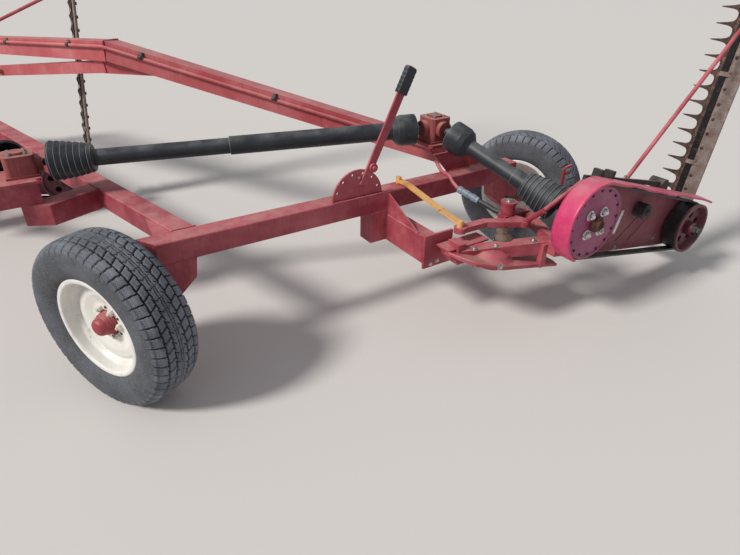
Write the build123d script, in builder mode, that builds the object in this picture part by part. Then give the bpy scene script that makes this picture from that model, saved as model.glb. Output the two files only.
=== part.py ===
from build123d import *

import math
import os

os.makedirs("parts", exist_ok=True)

# Double sickle bar mower, towed: a beam on two turned wheels, a low tongue and a
# high arch to the hitch, and two belt-driven mower heads with their bars raised.
# Places are measured from the ground below the beam's left end: x along the beam
# to the right, y to the front, z up. The origin itself is the middle of the hitch
# pin's hole, so spot() turns such a place into the model's own coordinates.

# Square tube of the frame and the beam across the wheels
TUBE = 95
TUBE_ROUNDING = 8
BEAM_TOP = 594
BEAM_BOTTOM = BEAM_TOP - TUBE
BEAM_MIDDLE = BEAM_TOP - TUBE / 2
BEAM_LEFT_FRONT = -8
BEAM_LEFT_REAR = 50
BEAM_RIGHT = 1985

# Low tongue, from the beam's front face to the hitch
TONGUE_START_X = 185
TONGUE_TURN = 14.3
HITCH_Y = 4150
HITCH_HEIGHT = 450
HITCH_X = TONGUE_START_X - math.tan(math.radians(TONGUE_TURN)) * (HITCH_Y - TUBE / 2)
TONGUE_FRONT_GAP = 150

# Hitch clevis
CLEVIS_PLATE = 22
CLEVIS_GAP = 50
CLEVIS_WIDTH = 90
HITCH_PIN_R = 14

# High arch with its brace and the tower at the front
ARCH_TUBE = 102
ARCH_FOOT = (1910, TUBE / 2, BEAM_MIDDLE)
ARCH_KNEE = (280, 1390, 1090)
ARCH_FRONT = (-660, 3850, 912)
BRACE_TUBE = 64
BRACE_TOP = (254, 1457, 1001)
BRACE_FRONT = (-672, 3850, 672)
TOWER_WIDTH = 240
TOWER_DEPTH = 90
TOWER_TOP = 985
CROSS_PIPE_Y = 2640
CROSS_PIPE_R = 21

# Wheels and the upright kingpins that they turn on
TRANSPORT_TURN = 27.5
TYRE_R = 349
TYRE_HALF = 107
TREAD_HALF = 90
BEAD_R = 190
RIM_HALF = 86
RIM_LIP_R = 207.5
RIM_WALL = 4
BEAD_GAP = 0.3
KINGPIN_R = 20
KINGPIN_GAP = 0.3
HOUSING_R = 36
HOUSING_BOTTOM = TYRE_R + 46
KNUCKLE_R = 34
KNUCKLE_BOTTOM = TYRE_R - 49
KNUCKLE_GAP = 0.5
SPINDLE_R = 19
SPINDLE_GAP = 0.3
STUB_LENGTH = 220
LEG_REACH = 155
LEG_LOW = TYRE_R + 61
LEG_FOOT = TYRE_R - 4

# Bracket beside the tongue with the box that carries the left gearbox
BRACKET_START = (35, 750)
BRACKET_END = (-335, 578)
BOX_CORNERS = ((-505, 610), (-255, 610), (-255, 800), (-505, 800))
BOX_TOP = 688
FLANGE = 12
GEARBOX = 130
LEFT_GEARBOX = (-300, 720, 742)
GEARBOX_NECK = 22
FRONT_NECK = 30
RIGHT_GEARBOX = (1545, 150, 800)
STAND_PLATE = 14

# Plastic guards of the drive shafts
GUARD_R = 37
GUARD_STEP_R = 43
CONE_SMALL_R = 45
CONE_R = 84
CONE_LENGTH = 175
CONE_RIBS = 7
CONE_RIB = 5
GUARD_CLEAR = 10
BELL_R = 76
SHAFT_R = 17

# Jack on the tongue
JACK_Y = 3450
JACK_OUTER_R = 34
JACK_INNER_R = 27
JACK_GAP = 0.5
JACK_FOOT = 95
JACK_FOOT_PLATE = 8

# Lift lever on its sector
SECTOR_X = 962
SECTOR_R = 132
SECTOR_PLATE = 10
SECTOR_HOLE_R = 7
LEVER_WIDTH = 38
LEVER_PLATE = 10

# Hydraulic pipe and hose
PIPE_R = 9
HOSE_R = 13

# Mower heads: drive and driven pulleys, in places of the rear head
BELT_FRONT = -704
DRUM_AXIS = (1734, 563)
DRUM_R = 170
DRUM_HUB_R = 36
CRANK_AXIS = (2575, 342)
CRANK_R = 133
CRANK_REAR = -785
BELT = 9
BELT_GAP = 0.4
BACK_PLATE_Y = -680
BACK_PLATE = 8
SHROUD_GAP = 8
PLATE_GAP = 0.3
SHROUD = 4
SHROUD_REAR = -770
DRIVE_SHAFT_R = 17.5
JOURNAL_R = 20
STUB_FOOT = 108
ARM_PLATE = 26
ROD_BEND = (1570, -604, 604)
SHAFT_GAP = 0.3

# Cutter bar: it stands almost upright, hinged at its shoe
BAR_LEAN = 7
BAR_HINGE = (2755, 250)
BAR_FRONT = -555
BAR_WIDTH = 95
BAR_THICK = 10
GUARD_COUNT = 36
GUARD_PITCH = 76.2
GUARD_TIP = 126
BAR_START = 95
HINGE_PIN_R = 12
HINGE_GAP = 0.3
SHOE_PLATE = 14
SHOE_START = 2630
KNIFE = 4
KNIFE_RISE = 1.4
KNIFE_TIP = 54

# Linkage bar over the belt: left end, and its fall for each millimetre to the right
LINKAGE_LEFT = (1770, 730)
LINKAGE_FALL = 0.236

# Heads: the rear one under the beam, the front one under its own cross beam
# columns: name, moved along x, moved along y, moved up
HEADS = (
    ("rear", 0, 0, 0),
    ("front", -2665, 2700, -TUBE),
)
FRONT_MOVE = HEADS[1][1:]

# Wheel table: name, kingpin x, kingpin y, outward side
WHEELS = (
    ("left", 45, 24, -1),
    ("right", 1993, -24, 1),
)


def spot(x, y, z):
    """A place measured from the ground below the beam's left end."""
    return Vector(x - HITCH_X, y - HITCH_Y, z - HITCH_HEIGHT)


def level(x, y, z, turn=0):
    """A level plane: its x runs to the right, its y to the front, turned to the left."""
    angle = math.radians(turn)
    return Plane(origin=spot(x, y, z), x_dir=(math.cos(angle), math.sin(angle), 0), z_dir=(0, 0, 1))


def facing_rear(x, y, z):
    """An upright plane along the beam: its x runs to the right, its y up."""
    return Plane(origin=spot(x, y, z), x_dir=(1, 0, 0), z_dir=(0, -1, 0))


def facing_right(x, y, z):
    """An upright plane across the beam: its x runs to the front, its y up."""
    return Plane(origin=spot(x, y, z), x_dir=(0, 1, 0), z_dir=(1, 0, 0))


def along(start, end):
    """A plane at start that faces end, with its x level."""
    way = end - start
    side = way.cross(Vector(0, 0, 1))
    if side.length < 0.001 * way.length:
        side = Vector(1, 0, 0)
    return Plane(origin=start, x_dir=side, z_dir=way)


def square_run(start, end, width, height):
    """A solid tube run with a rectangular section."""
    with BuildSketch(along(start, end)) as outline:
        Rectangle(width, height)
    extrude(outline.sketch, amount=(end - start).length)


def round_run(start, end, radius):
    """A round bar from start to end."""
    with BuildSketch(along(start, end)) as outline:
        Circle(radius)
    extrude(outline.sketch, amount=(end - start).length)


def slab(plane, points, thickness):
    """A plate with the outline of the points, to both sides of the plane."""
    with BuildSketch(plane) as outline:
        with BuildLine():
            Polyline(*points, close=True)
        make_face()
    extrude(outline.sketch, amount=thickness / 2, both=True)


def turned(start, end, profile):
    """A turned piece about the line from start to end: pairs of distance and radius."""
    way = (end - start).normalized()
    side = way.cross(Vector(0, 0, 1))
    if side.length < 0.001:
        side = Vector(1, 0, 0)
    with BuildSketch(Plane(origin=start, x_dir=way, z_dir=way.cross(side))) as outline:
        with BuildLine():
            Polyline(*profile, close=True)
        make_face()
    revolve(outline.sketch, axis=Axis(start, way))


def ribbed_cone(start, end):
    """Plastic cone of a shaft guard: small end at start, ribs like bellows."""
    length = (end - start).length
    step = length / CONE_RIBS
    outline = [(0, SHAFT_R - 1)]
    for rib in range(CONE_RIBS):
        radius = CONE_SMALL_R + (CONE_R - CONE_SMALL_R) * math.sqrt((rib + 1) / CONE_RIBS)
        outline.append((rib * step, radius))
        outline.append((rib * step + 0.6 * step, radius + CONE_RIB))
        outline.append((rib * step + 0.6 * step, radius))
    outline.append((length, CONE_R))
    outline.append((length, CONE_R - 6))
    outline.append((0.35 * length, CONE_SMALL_R - 6))
    outline.append((0.35 * length, SHAFT_R - 1))
    turned(start, end, outline)


# Frame beam, mitred on the left beside the tyre
with BuildPart() as beam:
    with BuildSketch(level(0, 0, BEAM_BOTTOM)):
        with BuildLine():
            Polyline(
                (BEAM_LEFT_REAR, -TUBE / 2),
                (BEAM_RIGHT, -TUBE / 2),
                (BEAM_RIGHT, TUBE / 2),
                (BEAM_LEFT_FRONT, TUBE / 2),
                close=True,
            )
        make_face()
    extrude(amount=TUBE)
    fillet(beam.edges().filter_by(Axis.X), TUBE_ROUNDING)
beam.part.label = "beam"
export_step(beam.part, "parts/beam.step")

# Low tongue: one straight tube from the beam to the hitch
tongue_way = Vector(-math.sin(math.radians(TONGUE_TURN)), math.cos(math.radians(TONGUE_TURN)), 0)
tongue_side = Vector(tongue_way.Y, -tongue_way.X, 0)
tongue_length = (HITCH_Y - TUBE / 2) / tongue_way.Y - TONGUE_FRONT_GAP
tongue_foot = spot(TONGUE_START_X, TUBE / 2, BEAM_MIDDLE)
tongue_end = tongue_foot + tongue_way * tongue_length
with BuildPart() as tongue:
    square_run(tongue_foot - tongue_way * TUBE, tongue_end, TUBE, TUBE)
    split(bisect_by=Plane(origin=tongue_foot, z_dir=(0, 1, 0)), keep=Keep.TOP)
    fillet(tongue.edges().filter_by(Axis((0, 0, 0), tuple(tongue_way))), TUBE_ROUNDING)
    with BuildSketch(level(0, 0, BEAM_TOP - 20)) as corner_gusset:
        with BuildLine():
            Polyline((150, TUBE / 2), (68, TUBE / 2), (84, 262), (110, 262), close=True)
        make_face()
    extrude(corner_gusset.sketch, amount=12)
tongue.part.label = "tongue"
export_step(tongue.part, "parts/tongue.step")


def on_tongue(y):
    """x of the tongue's middle line at a given y."""
    return TONGUE_START_X - math.tan(math.radians(TONGUE_TURN)) * (y - TUBE / 2)


# Clevis at the front with the hitch pin's hole
with BuildPart() as hitch:
    plate_low = HITCH_HEIGHT - CLEVIS_GAP / 2 - CLEVIS_PLATE - 22
    plate_high = BEAM_TOP + 8
    plate_drop = Vector(0, 0, (plate_high + plate_low) / 2 - BEAM_MIDDLE)
    square_run(
        tongue_end + plate_drop,
        tongue_end + tongue_way * 24 + plate_drop,
        TUBE + 30,
        plate_high - plate_low,
    )
    for side in (-1, 1):
        height = HITCH_HEIGHT + side * (CLEVIS_GAP + CLEVIS_PLATE) / 2
        ear_start = Vector(tongue_end.X, tongue_end.Y, height - HITCH_HEIGHT) + tongue_way * 24
        ear_end = Vector(0, 0, height - HITCH_HEIGHT)
        square_run(ear_start, ear_end, CLEVIS_WIDTH, CLEVIS_PLATE)
        with BuildSketch(Plane(origin=(0, 0, ear_end.Z - CLEVIS_PLATE / 2))) as ear_nose:
            Circle(CLEVIS_WIDTH / 2)
        extrude(ear_nose.sketch, amount=CLEVIS_PLATE)
    with BuildSketch(Plane(origin=(0, 0, -CLEVIS_GAP))) as pin_hole:
        Circle(HITCH_PIN_R)
    extrude(pin_hole.sketch, amount=2 * CLEVIS_GAP, mode=Mode.SUBTRACT)
hitch.part.label = "hitch_clevis"
export_step(hitch.part, "parts/hitch_clevis.step")

# Tower over the tongue's front that holds the arch and its brace
tower_foot = spot(ARCH_FRONT[0] - 50, ARCH_FRONT[1] + TOWER_DEPTH / 2, BEAM_TOP)
with BuildPart() as tower:
    square_run(tower_foot, tower_foot + Vector(0, 0, TOWER_TOP - BEAM_TOP), TOWER_WIDTH, TOWER_DEPTH)
    fillet(tower.edges().filter_by(Axis.Z), TUBE_ROUNDING)
tower.part.label = "hitch_tower"
export_step(tower.part, "parts/hitch_tower.step")

# High arch: two runs with a mitred knee, cut flush at the beam and at the tower
arch_foot = spot(*ARCH_FOOT)
arch_knee = spot(*ARCH_KNEE)
arch_front = spot(*ARCH_FRONT)
rise_way = (arch_knee - arch_foot).normalized()
front_way = (arch_front - arch_knee).normalized()
knee_plane = Plane(origin=arch_knee, z_dir=rise_way + front_way)
with BuildPart() as arch:
    with BuildPart(mode=Mode.PRIVATE) as rising:
        square_run(arch_foot - rise_way * 200, arch_knee + rise_way * 150, ARCH_TUBE, ARCH_TUBE)
        split(bisect_by=Plane(origin=arch_foot, z_dir=(0, 1, 0)), keep=Keep.TOP)
        split(bisect_by=knee_plane, keep=Keep.BOTTOM)
    with BuildPart(mode=Mode.PRIVATE) as level_run:
        square_run(arch_knee - front_way * 150, arch_front + front_way * 150, ARCH_TUBE, ARCH_TUBE)
        split(bisect_by=knee_plane, keep=Keep.TOP)
        split(bisect_by=Plane(origin=arch_front, z_dir=(0, 1, 0)), keep=Keep.BOTTOM)
    add(rising.part)
    add(level_run.part)
arch.part.label = "arch"
export_step(arch.part, "parts/arch.step")

# Brace under the arch's front run, with the cross pipe that goes through it
brace_top = spot(*BRACE_TOP)
brace_front = spot(*BRACE_FRONT)
brace_way = (brace_front - brace_top).normalized()
arch_under = arch_knee - Vector(0, 0, ARCH_TUBE / 2 / math.sqrt(1 - front_way.Z ** 2))
arch_down = front_way.cross(Vector(0, 0, 1)).cross(front_way)
arch_floor = Plane(origin=arch_under, x_dir=front_way, z_dir=arch_down)
rise_under = arch_knee - Vector(0, 0, ARCH_TUBE / 2 / math.sqrt(1 - rise_way.Z**2))
rise_floor = Plane(origin=rise_under, x_dir=rise_way, z_dir=rise_way.cross(Vector(0, 0, 1)).cross(rise_way))
with BuildPart() as wedge:
    slab(
        Plane(origin=spot(BRACE_TOP[0], BRACE_TOP[1], 0), x_dir=(203, -220, 0), z_dir=(-220, -203, 0)),
        ((-8, 1045), (330, 1045), (330, 973), (-8, 968)),
        BRACE_TUBE,
    )
    split(bisect_by=arch_floor, keep=Keep.BOTTOM)
    split(bisect_by=rise_floor, keep=Keep.BOTTOM)
with BuildPart() as brace:
    square_run(brace_top - brace_way * 20, brace_front + brace_way * 60, BRACE_TUBE, BRACE_TUBE)
    split(bisect_by=arch_floor, keep=Keep.BOTTOM)
    split(bisect_by=Plane(origin=brace_front, z_dir=(0, 1, 0)), keep=Keep.BOTTOM)
    add(wedge.part)
    pipe_share = (CROSS_PIPE_Y - BRACE_TOP[1]) / (BRACE_FRONT[1] - BRACE_TOP[1])
    pipe_middle = brace_top + (brace_front - brace_top) * pipe_share
    round_run(pipe_middle - Vector(70, 0, 0), pipe_middle + Vector(70, 0, 0), CROSS_PIPE_R)
    with BuildSketch(along(pipe_middle - Vector(80, 0, 0), pipe_middle)) as pipe_bore:
        Circle(CROSS_PIPE_R - 5)
    extrude(pipe_bore.sketch, amount=160, mode=Mode.SUBTRACT)
brace.part.label = "arch_brace"
export_step(brace.part, "parts/arch_brace.step")

# Cross beam under the tongue that carries the front head
cross_y = FRONT_MOVE[1]
cross_top = BEAM_TOP + FRONT_MOVE[2]
with BuildPart() as cross_beam:
    with BuildSketch(level(0, cross_y, cross_top - TUBE)):
        with BuildLine():
            Polyline(
                (1015 + FRONT_MOVE[0], -TUBE / 2),
                (on_tongue(cross_y) + 70, -TUBE / 2),
                (on_tongue(cross_y) + 70, TUBE / 2),
                (1015 + FRONT_MOVE[0], TUBE / 2),
                close=True,
            )
        make_face()
    extrude(amount=TUBE)
    fillet(cross_beam.edges().filter_by(Axis.X), TUBE_ROUNDING)
cross_beam.part.label = "front_cross_beam"
export_step(cross_beam.part, "parts/front_cross_beam.step")

# Bracket beside the tongue, with a mitred left end
bracket_start = spot(*BRACKET_START, BEAM_MIDDLE)
bracket_end = spot(*BRACKET_END, BEAM_MIDDLE)
tongue_left = tongue_foot - tongue_side * TUBE / 2
with BuildPart() as side_bracket:
    square_run(bracket_start, bracket_end, TUBE, TUBE)
    split(bisect_by=Plane(origin=tongue_left, z_dir=-tongue_side), keep=Keep.TOP)
    bracket_way = (bracket_end - bracket_start).normalized()
    cut_way = bracket_way.rotate(Axis.Z, 38)
    split(bisect_by=Plane(origin=bracket_end - bracket_way * 50, z_dir=cut_way), keep=Keep.BOTTOM)
side_bracket.part.label = "side_bracket"
export_step(side_bracket.part, "parts/side_bracket.step")

# Box on the bracket with the gearbox's flange and its bolt heads
box_middle_x = (BOX_CORNERS[0][0] + BOX_CORNERS[1][0]) / 2
box_middle_y = (BOX_CORNERS[1][1] + BOX_CORNERS[2][1]) / 2
with BuildPart() as gearbox_box:
    with BuildSketch(level(0, 0, BEAM_TOP)):
        with BuildLine():
            Polyline(*BOX_CORNERS, close=True)
        make_face()
    extrude(amount=BOX_TOP - BEAM_TOP)
    with BuildSketch(level(box_middle_x, box_middle_y, BOX_TOP)):
        Rectangle(290, 212)
    extrude(amount=FLANGE)
    with BuildSketch(level(box_middle_x, box_middle_y, BOX_TOP + FLANGE)):
        with GridLocations(262, 186, 2, 2):
            RegularPolygon(radius=11, side_count=6)
    extrude(amount=10)
gearbox_box.part.label = "left_gearbox_box"
export_step(gearbox_box.part, "parts/left_gearbox_box.step")


def gearbox_body(middle, floor):
    """Right-angle gearbox: a case with rounded edges on a foot, and a cap on top."""
    top = middle[2] + GEARBOX / 2 - 12
    with BuildSketch(Plane(origin=spot(middle[0], middle[1], floor))) as foot_outline:
        Rectangle(GEARBOX, GEARBOX)
    extrude(foot_outline.sketch, amount=10)
    with BuildSketch(Plane(origin=spot(middle[0], middle[1], floor + 10))) as case_outline:
        RectangleRounded(GEARBOX - 8, GEARBOX - 8, 22)
    extrude(case_outline.sketch, amount=top - floor - 10)
    with BuildSketch(Plane(origin=spot(middle[0], middle[1], top))) as cap_outline:
        Circle(34)
    extrude(cap_outline.sketch, amount=10)


# Left gearbox: shaft to the front, shaft to the right
with BuildPart() as left_gearbox:
    gearbox_body(LEFT_GEARBOX, BOX_TOP + FLANGE)
    left_case = spot(*LEFT_GEARBOX)
    round_run(left_case, left_case + Vector(GEARBOX / 2 + GEARBOX_NECK, 0, 0), 40)
    round_run(left_case, left_case + Vector(0, GEARBOX / 2 + FRONT_NECK, 0), 40)
left_gearbox.part.label = "left_gearbox"
export_step(left_gearbox.part, "parts/left_gearbox.step")

# Stand on the beam: an upright tapered plate with a seat and a foot
stand_floor = RIGHT_GEARBOX[2] - GEARBOX / 2 - 6
with BuildPart() as stand:
    slab(
        facing_rear(0, 30, 0),
        (
            (1552, BEAM_TOP),
            (1705, BEAM_TOP),
            (1640, stand_floor - 30),
            (1450, stand_floor - 30),
        ),
        STAND_PLATE,
    )
    with BuildSketch(level(RIGHT_GEARBOX[0], RIGHT_GEARBOX[1], stand_floor - 14)) as seat:
        RectangleRounded(160, 170, 12)
    extrude(seat.sketch, amount=14)
    for web_x in (RIGHT_GEARBOX[0] + 24, RIGHT_GEARBOX[0] + 70):
        slab(
            facing_right(web_x, 0, 0),
            (
                (33, BEAM_TOP),
                (47, BEAM_TOP),
                (225, stand_floor - 30),
                (225, stand_floor - 14),
                (75, stand_floor - 14),
                (33, stand_floor - 34),
            ),
            STAND_PLATE,
        )
stand.part.label = "gearbox_stand"
export_step(stand.part, "parts/gearbox_stand.step")

# Right gearbox: shaft to the left, shaft to the rear
with BuildPart() as right_gearbox:
    gearbox_body(RIGHT_GEARBOX, stand_floor)
    right_case = spot(*RIGHT_GEARBOX)
    round_run(right_case, right_case - Vector(GEARBOX / 2 + GEARBOX_NECK, 0, 0), 40)
    round_run(right_case, right_case - Vector(0, GEARBOX / 2 + GEARBOX_NECK, 0), 40)
right_gearbox.part.label = "right_gearbox"
export_step(right_gearbox.part, "parts/right_gearbox.step")


def guarded_shaft(start, end, start_axis, end_axis, cone_ends, step_share):
    """Guard tube over a drive shaft, with a cone or a bell at each end."""
    way = (end - start).normalized()
    length = (end - start).length
    step_place = start + way * length * step_share
    shaft_ends = []
    guard_ends = []
    for place, inward, axis, wide in (
        (start, way, start_axis, CONE_R),
        (end, -way, end_axis, CONE_R),
    ):
        tilt = math.acos(min(1, abs(way.dot(Vector(*axis)))))
        shaft_ends.append(place + inward * (SHAFT_R * math.tan(tilt) + SHAFT_GAP))
        guard_ends.append(place + inward * (GUARD_CLEAR + (wide + CONE_RIB) * math.sin(tilt)))
    round_run(shaft_ends[0], shaft_ends[1], SHAFT_R)
    round_run(guard_ends[0] + way * 60, step_place, GUARD_R)
    round_run(step_place, guard_ends[1] - way * 60, GUARD_STEP_R)
    for place, inward, is_cone in ((guard_ends[0], way, cone_ends[0]), (guard_ends[1], -way, cone_ends[1])):
        if is_cone:
            ribbed_cone(place + inward * CONE_LENGTH, place)
        else:
            turned(
                place,
                place + inward * 120,
                (
                    (0, BELL_R),
                    (70, BELL_R),
                    (95, BELL_R - 8),
                    (120, GUARD_R + 4),
                    (120, SHAFT_R - 1),
                    (112, SHAFT_R - 1),
                    (90, BELL_R - 16),
                    (70, BELL_R - 5),
                    (0, BELL_R - 5),
                ),
            )


# Cross shaft from the left gearbox to the right one
cross_start = spot(LEFT_GEARBOX[0] + GEARBOX / 2 + GEARBOX_NECK, LEFT_GEARBOX[1], LEFT_GEARBOX[2])
cross_end = spot(RIGHT_GEARBOX[0] - GEARBOX / 2 - GEARBOX_NECK, RIGHT_GEARBOX[1], RIGHT_GEARBOX[2])
with BuildPart() as cross_shaft:
    guarded_shaft(cross_start, cross_end, (1, 0, 0), (1, 0, 0), (True, False), 0.46)
cross_shaft.part.label = "cross_shaft"
export_step(cross_shaft.part, "parts/cross_shaft.step")

# Shaft from the right gearbox down to the rear head
rear_start = spot(RIGHT_GEARBOX[0], RIGHT_GEARBOX[1] - GEARBOX / 2 - GEARBOX_NECK, RIGHT_GEARBOX[2])
rear_end = spot(DRUM_AXIS[0], BACK_PLATE_Y + 90, DRUM_AXIS[1])
with BuildPart() as rear_shaft:
    guarded_shaft(rear_start, rear_end, (0, 1, 0), (0, 1, 0), (False, True), 0.6)
rear_shaft.part.label = "rear_shaft"
export_step(rear_shaft.part, "parts/rear_shaft.step")

# Shaft from the front head's rear end back to the left gearbox
front_drum = spot(DRUM_AXIS[0], SHROUD_REAR - 24, DRUM_AXIS[1]) + Vector(*FRONT_MOVE)
link_start = spot(LEFT_GEARBOX[0], LEFT_GEARBOX[1] + GEARBOX / 2 + FRONT_NECK, LEFT_GEARBOX[2])
with BuildPart() as link_shaft:
    guarded_shaft(link_start, front_drum, (0, 1, 0), (0, 1, 0), (True, False), 0.55)
link_shaft.part.label = "link_shaft"
export_step(link_shaft.part, "parts/link_shaft.step")

# Jack: outer tube on a bracket at the tongue's left side, inner tube with its foot
jack_side = -tongue_side
jack_place = spot(on_tongue(JACK_Y), JACK_Y, 0) + jack_side * (TUBE / 2 + 14 + JACK_OUTER_R)
with BuildPart() as jack_outer:
    round_run(jack_place + Vector(0, 0, 330), jack_place + Vector(0, 0, 860), JACK_OUTER_R)
    round_run(jack_place + Vector(0, 0, 860), jack_place + Vector(0, 0, 880), JACK_OUTER_R + 4)
    plate_middle = jack_place - jack_side * (JACK_OUTER_R + 7) + Vector(0, 0, BEAM_MIDDLE)
    square_run(plate_middle - jack_side * 7, plate_middle + jack_side * 7, 120, 130)
    square_run(plate_middle, plate_middle + jack_side * 30, 30, 100)
    with BuildSketch(Plane(origin=jack_place + Vector(0, 0, 329))) as jack_bore:
        Circle(JACK_INNER_R + JACK_GAP)
    extrude(jack_bore.sketch, amount=510, mode=Mode.SUBTRACT)
    crank_root = jack_place + Vector(0, 0, 820)
    round_run(crank_root + jack_side * (JACK_OUTER_R - 4), crank_root + jack_side * 75, 8)
    round_run(crank_root + jack_side * 70, crank_root + jack_side * 70 - Vector(0, 0, 120), 8)
    round_run(
        crank_root + jack_side * 70 - Vector(0, 0, 112),
        crank_root + jack_side * 150 - Vector(0, 0, 112),
        11,
    )
jack_outer.part.label = "jack_outer"
export_step(jack_outer.part, "parts/jack_outer.step")

with BuildPart() as jack_inner:
    round_run(jack_place, jack_place + Vector(0, 0, 600), JACK_INNER_R)
    with BuildSketch(Plane(origin=jack_place)):
        Circle(JACK_FOOT)
    extrude(amount=JACK_FOOT_PLATE)
    for turn in (0, 90):
        slab(
            Plane(origin=jack_place).rotated((90, 0, turn)),
            ((-60, JACK_FOOT_PLATE), (60, JACK_FOOT_PLATE), (28, 55), (-28, 55)),
            8,
        )
jack_inner.part.label = "jack_inner"
export_step(jack_inner.part, "parts/jack_inner.step")

# Sector plate on the beam's rear edge, with holes along its rim
with BuildPart() as sector:
    with BuildSketch(facing_rear(SECTOR_X, -28, BEAM_TOP)):
        Circle(SECTOR_R)
        Rectangle(2 * SECTOR_R, SECTOR_R, align=(Align.CENTER, Align.MAX), mode=Mode.SUBTRACT)
        for angle in range(20, 180, 28):
            reach = SECTOR_R - 18
            with Locations((reach * math.cos(math.radians(angle)), reach * math.sin(math.radians(angle)))):
                Circle(SECTOR_HOLE_R, mode=Mode.SUBTRACT)
    extrude(amount=SECTOR_PLATE)
sector.part.label = "lever_sector"
export_step(sector.part, "parts/lever_sector.step")

# Lever: a flat bar on the sector with a lug and a grip
lever_low = spot(985, -28 - SECTOR_PLATE - LEVER_PLATE / 2, 650)
lever_high = spot(1178, -28 - SECTOR_PLATE - LEVER_PLATE / 2, 1040)
lever_way = (lever_high - lever_low).normalized()
with BuildPart() as lever:
    with BuildSketch(Plane(origin=lever_low, x_dir=(0, 1, 0), z_dir=lever_way)) as lever_section:
        Rectangle(LEVER_PLATE, LEVER_WIDTH)
    extrude(lever_section.sketch, amount=(lever_high - lever_low).length)
    with BuildSketch(Plane(origin=lever_high, x_dir=(0, 1, 0), z_dir=lever_way)) as grip_section:
        RectangleRounded(26, LEVER_WIDTH + 8, 8)
    extrude(grip_section.sketch, amount=115)
    lug = spot(1034, -28 - SECTOR_PLATE - LEVER_PLATE - 12, 728)
    round_run(lug, lug + Vector(0, 22, 0), 20)
    round_run(lug - Vector(0, 12, 0), lug, 10)
lever.part.label = "lever"
export_step(lever.part, "parts/lever.step")


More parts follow.
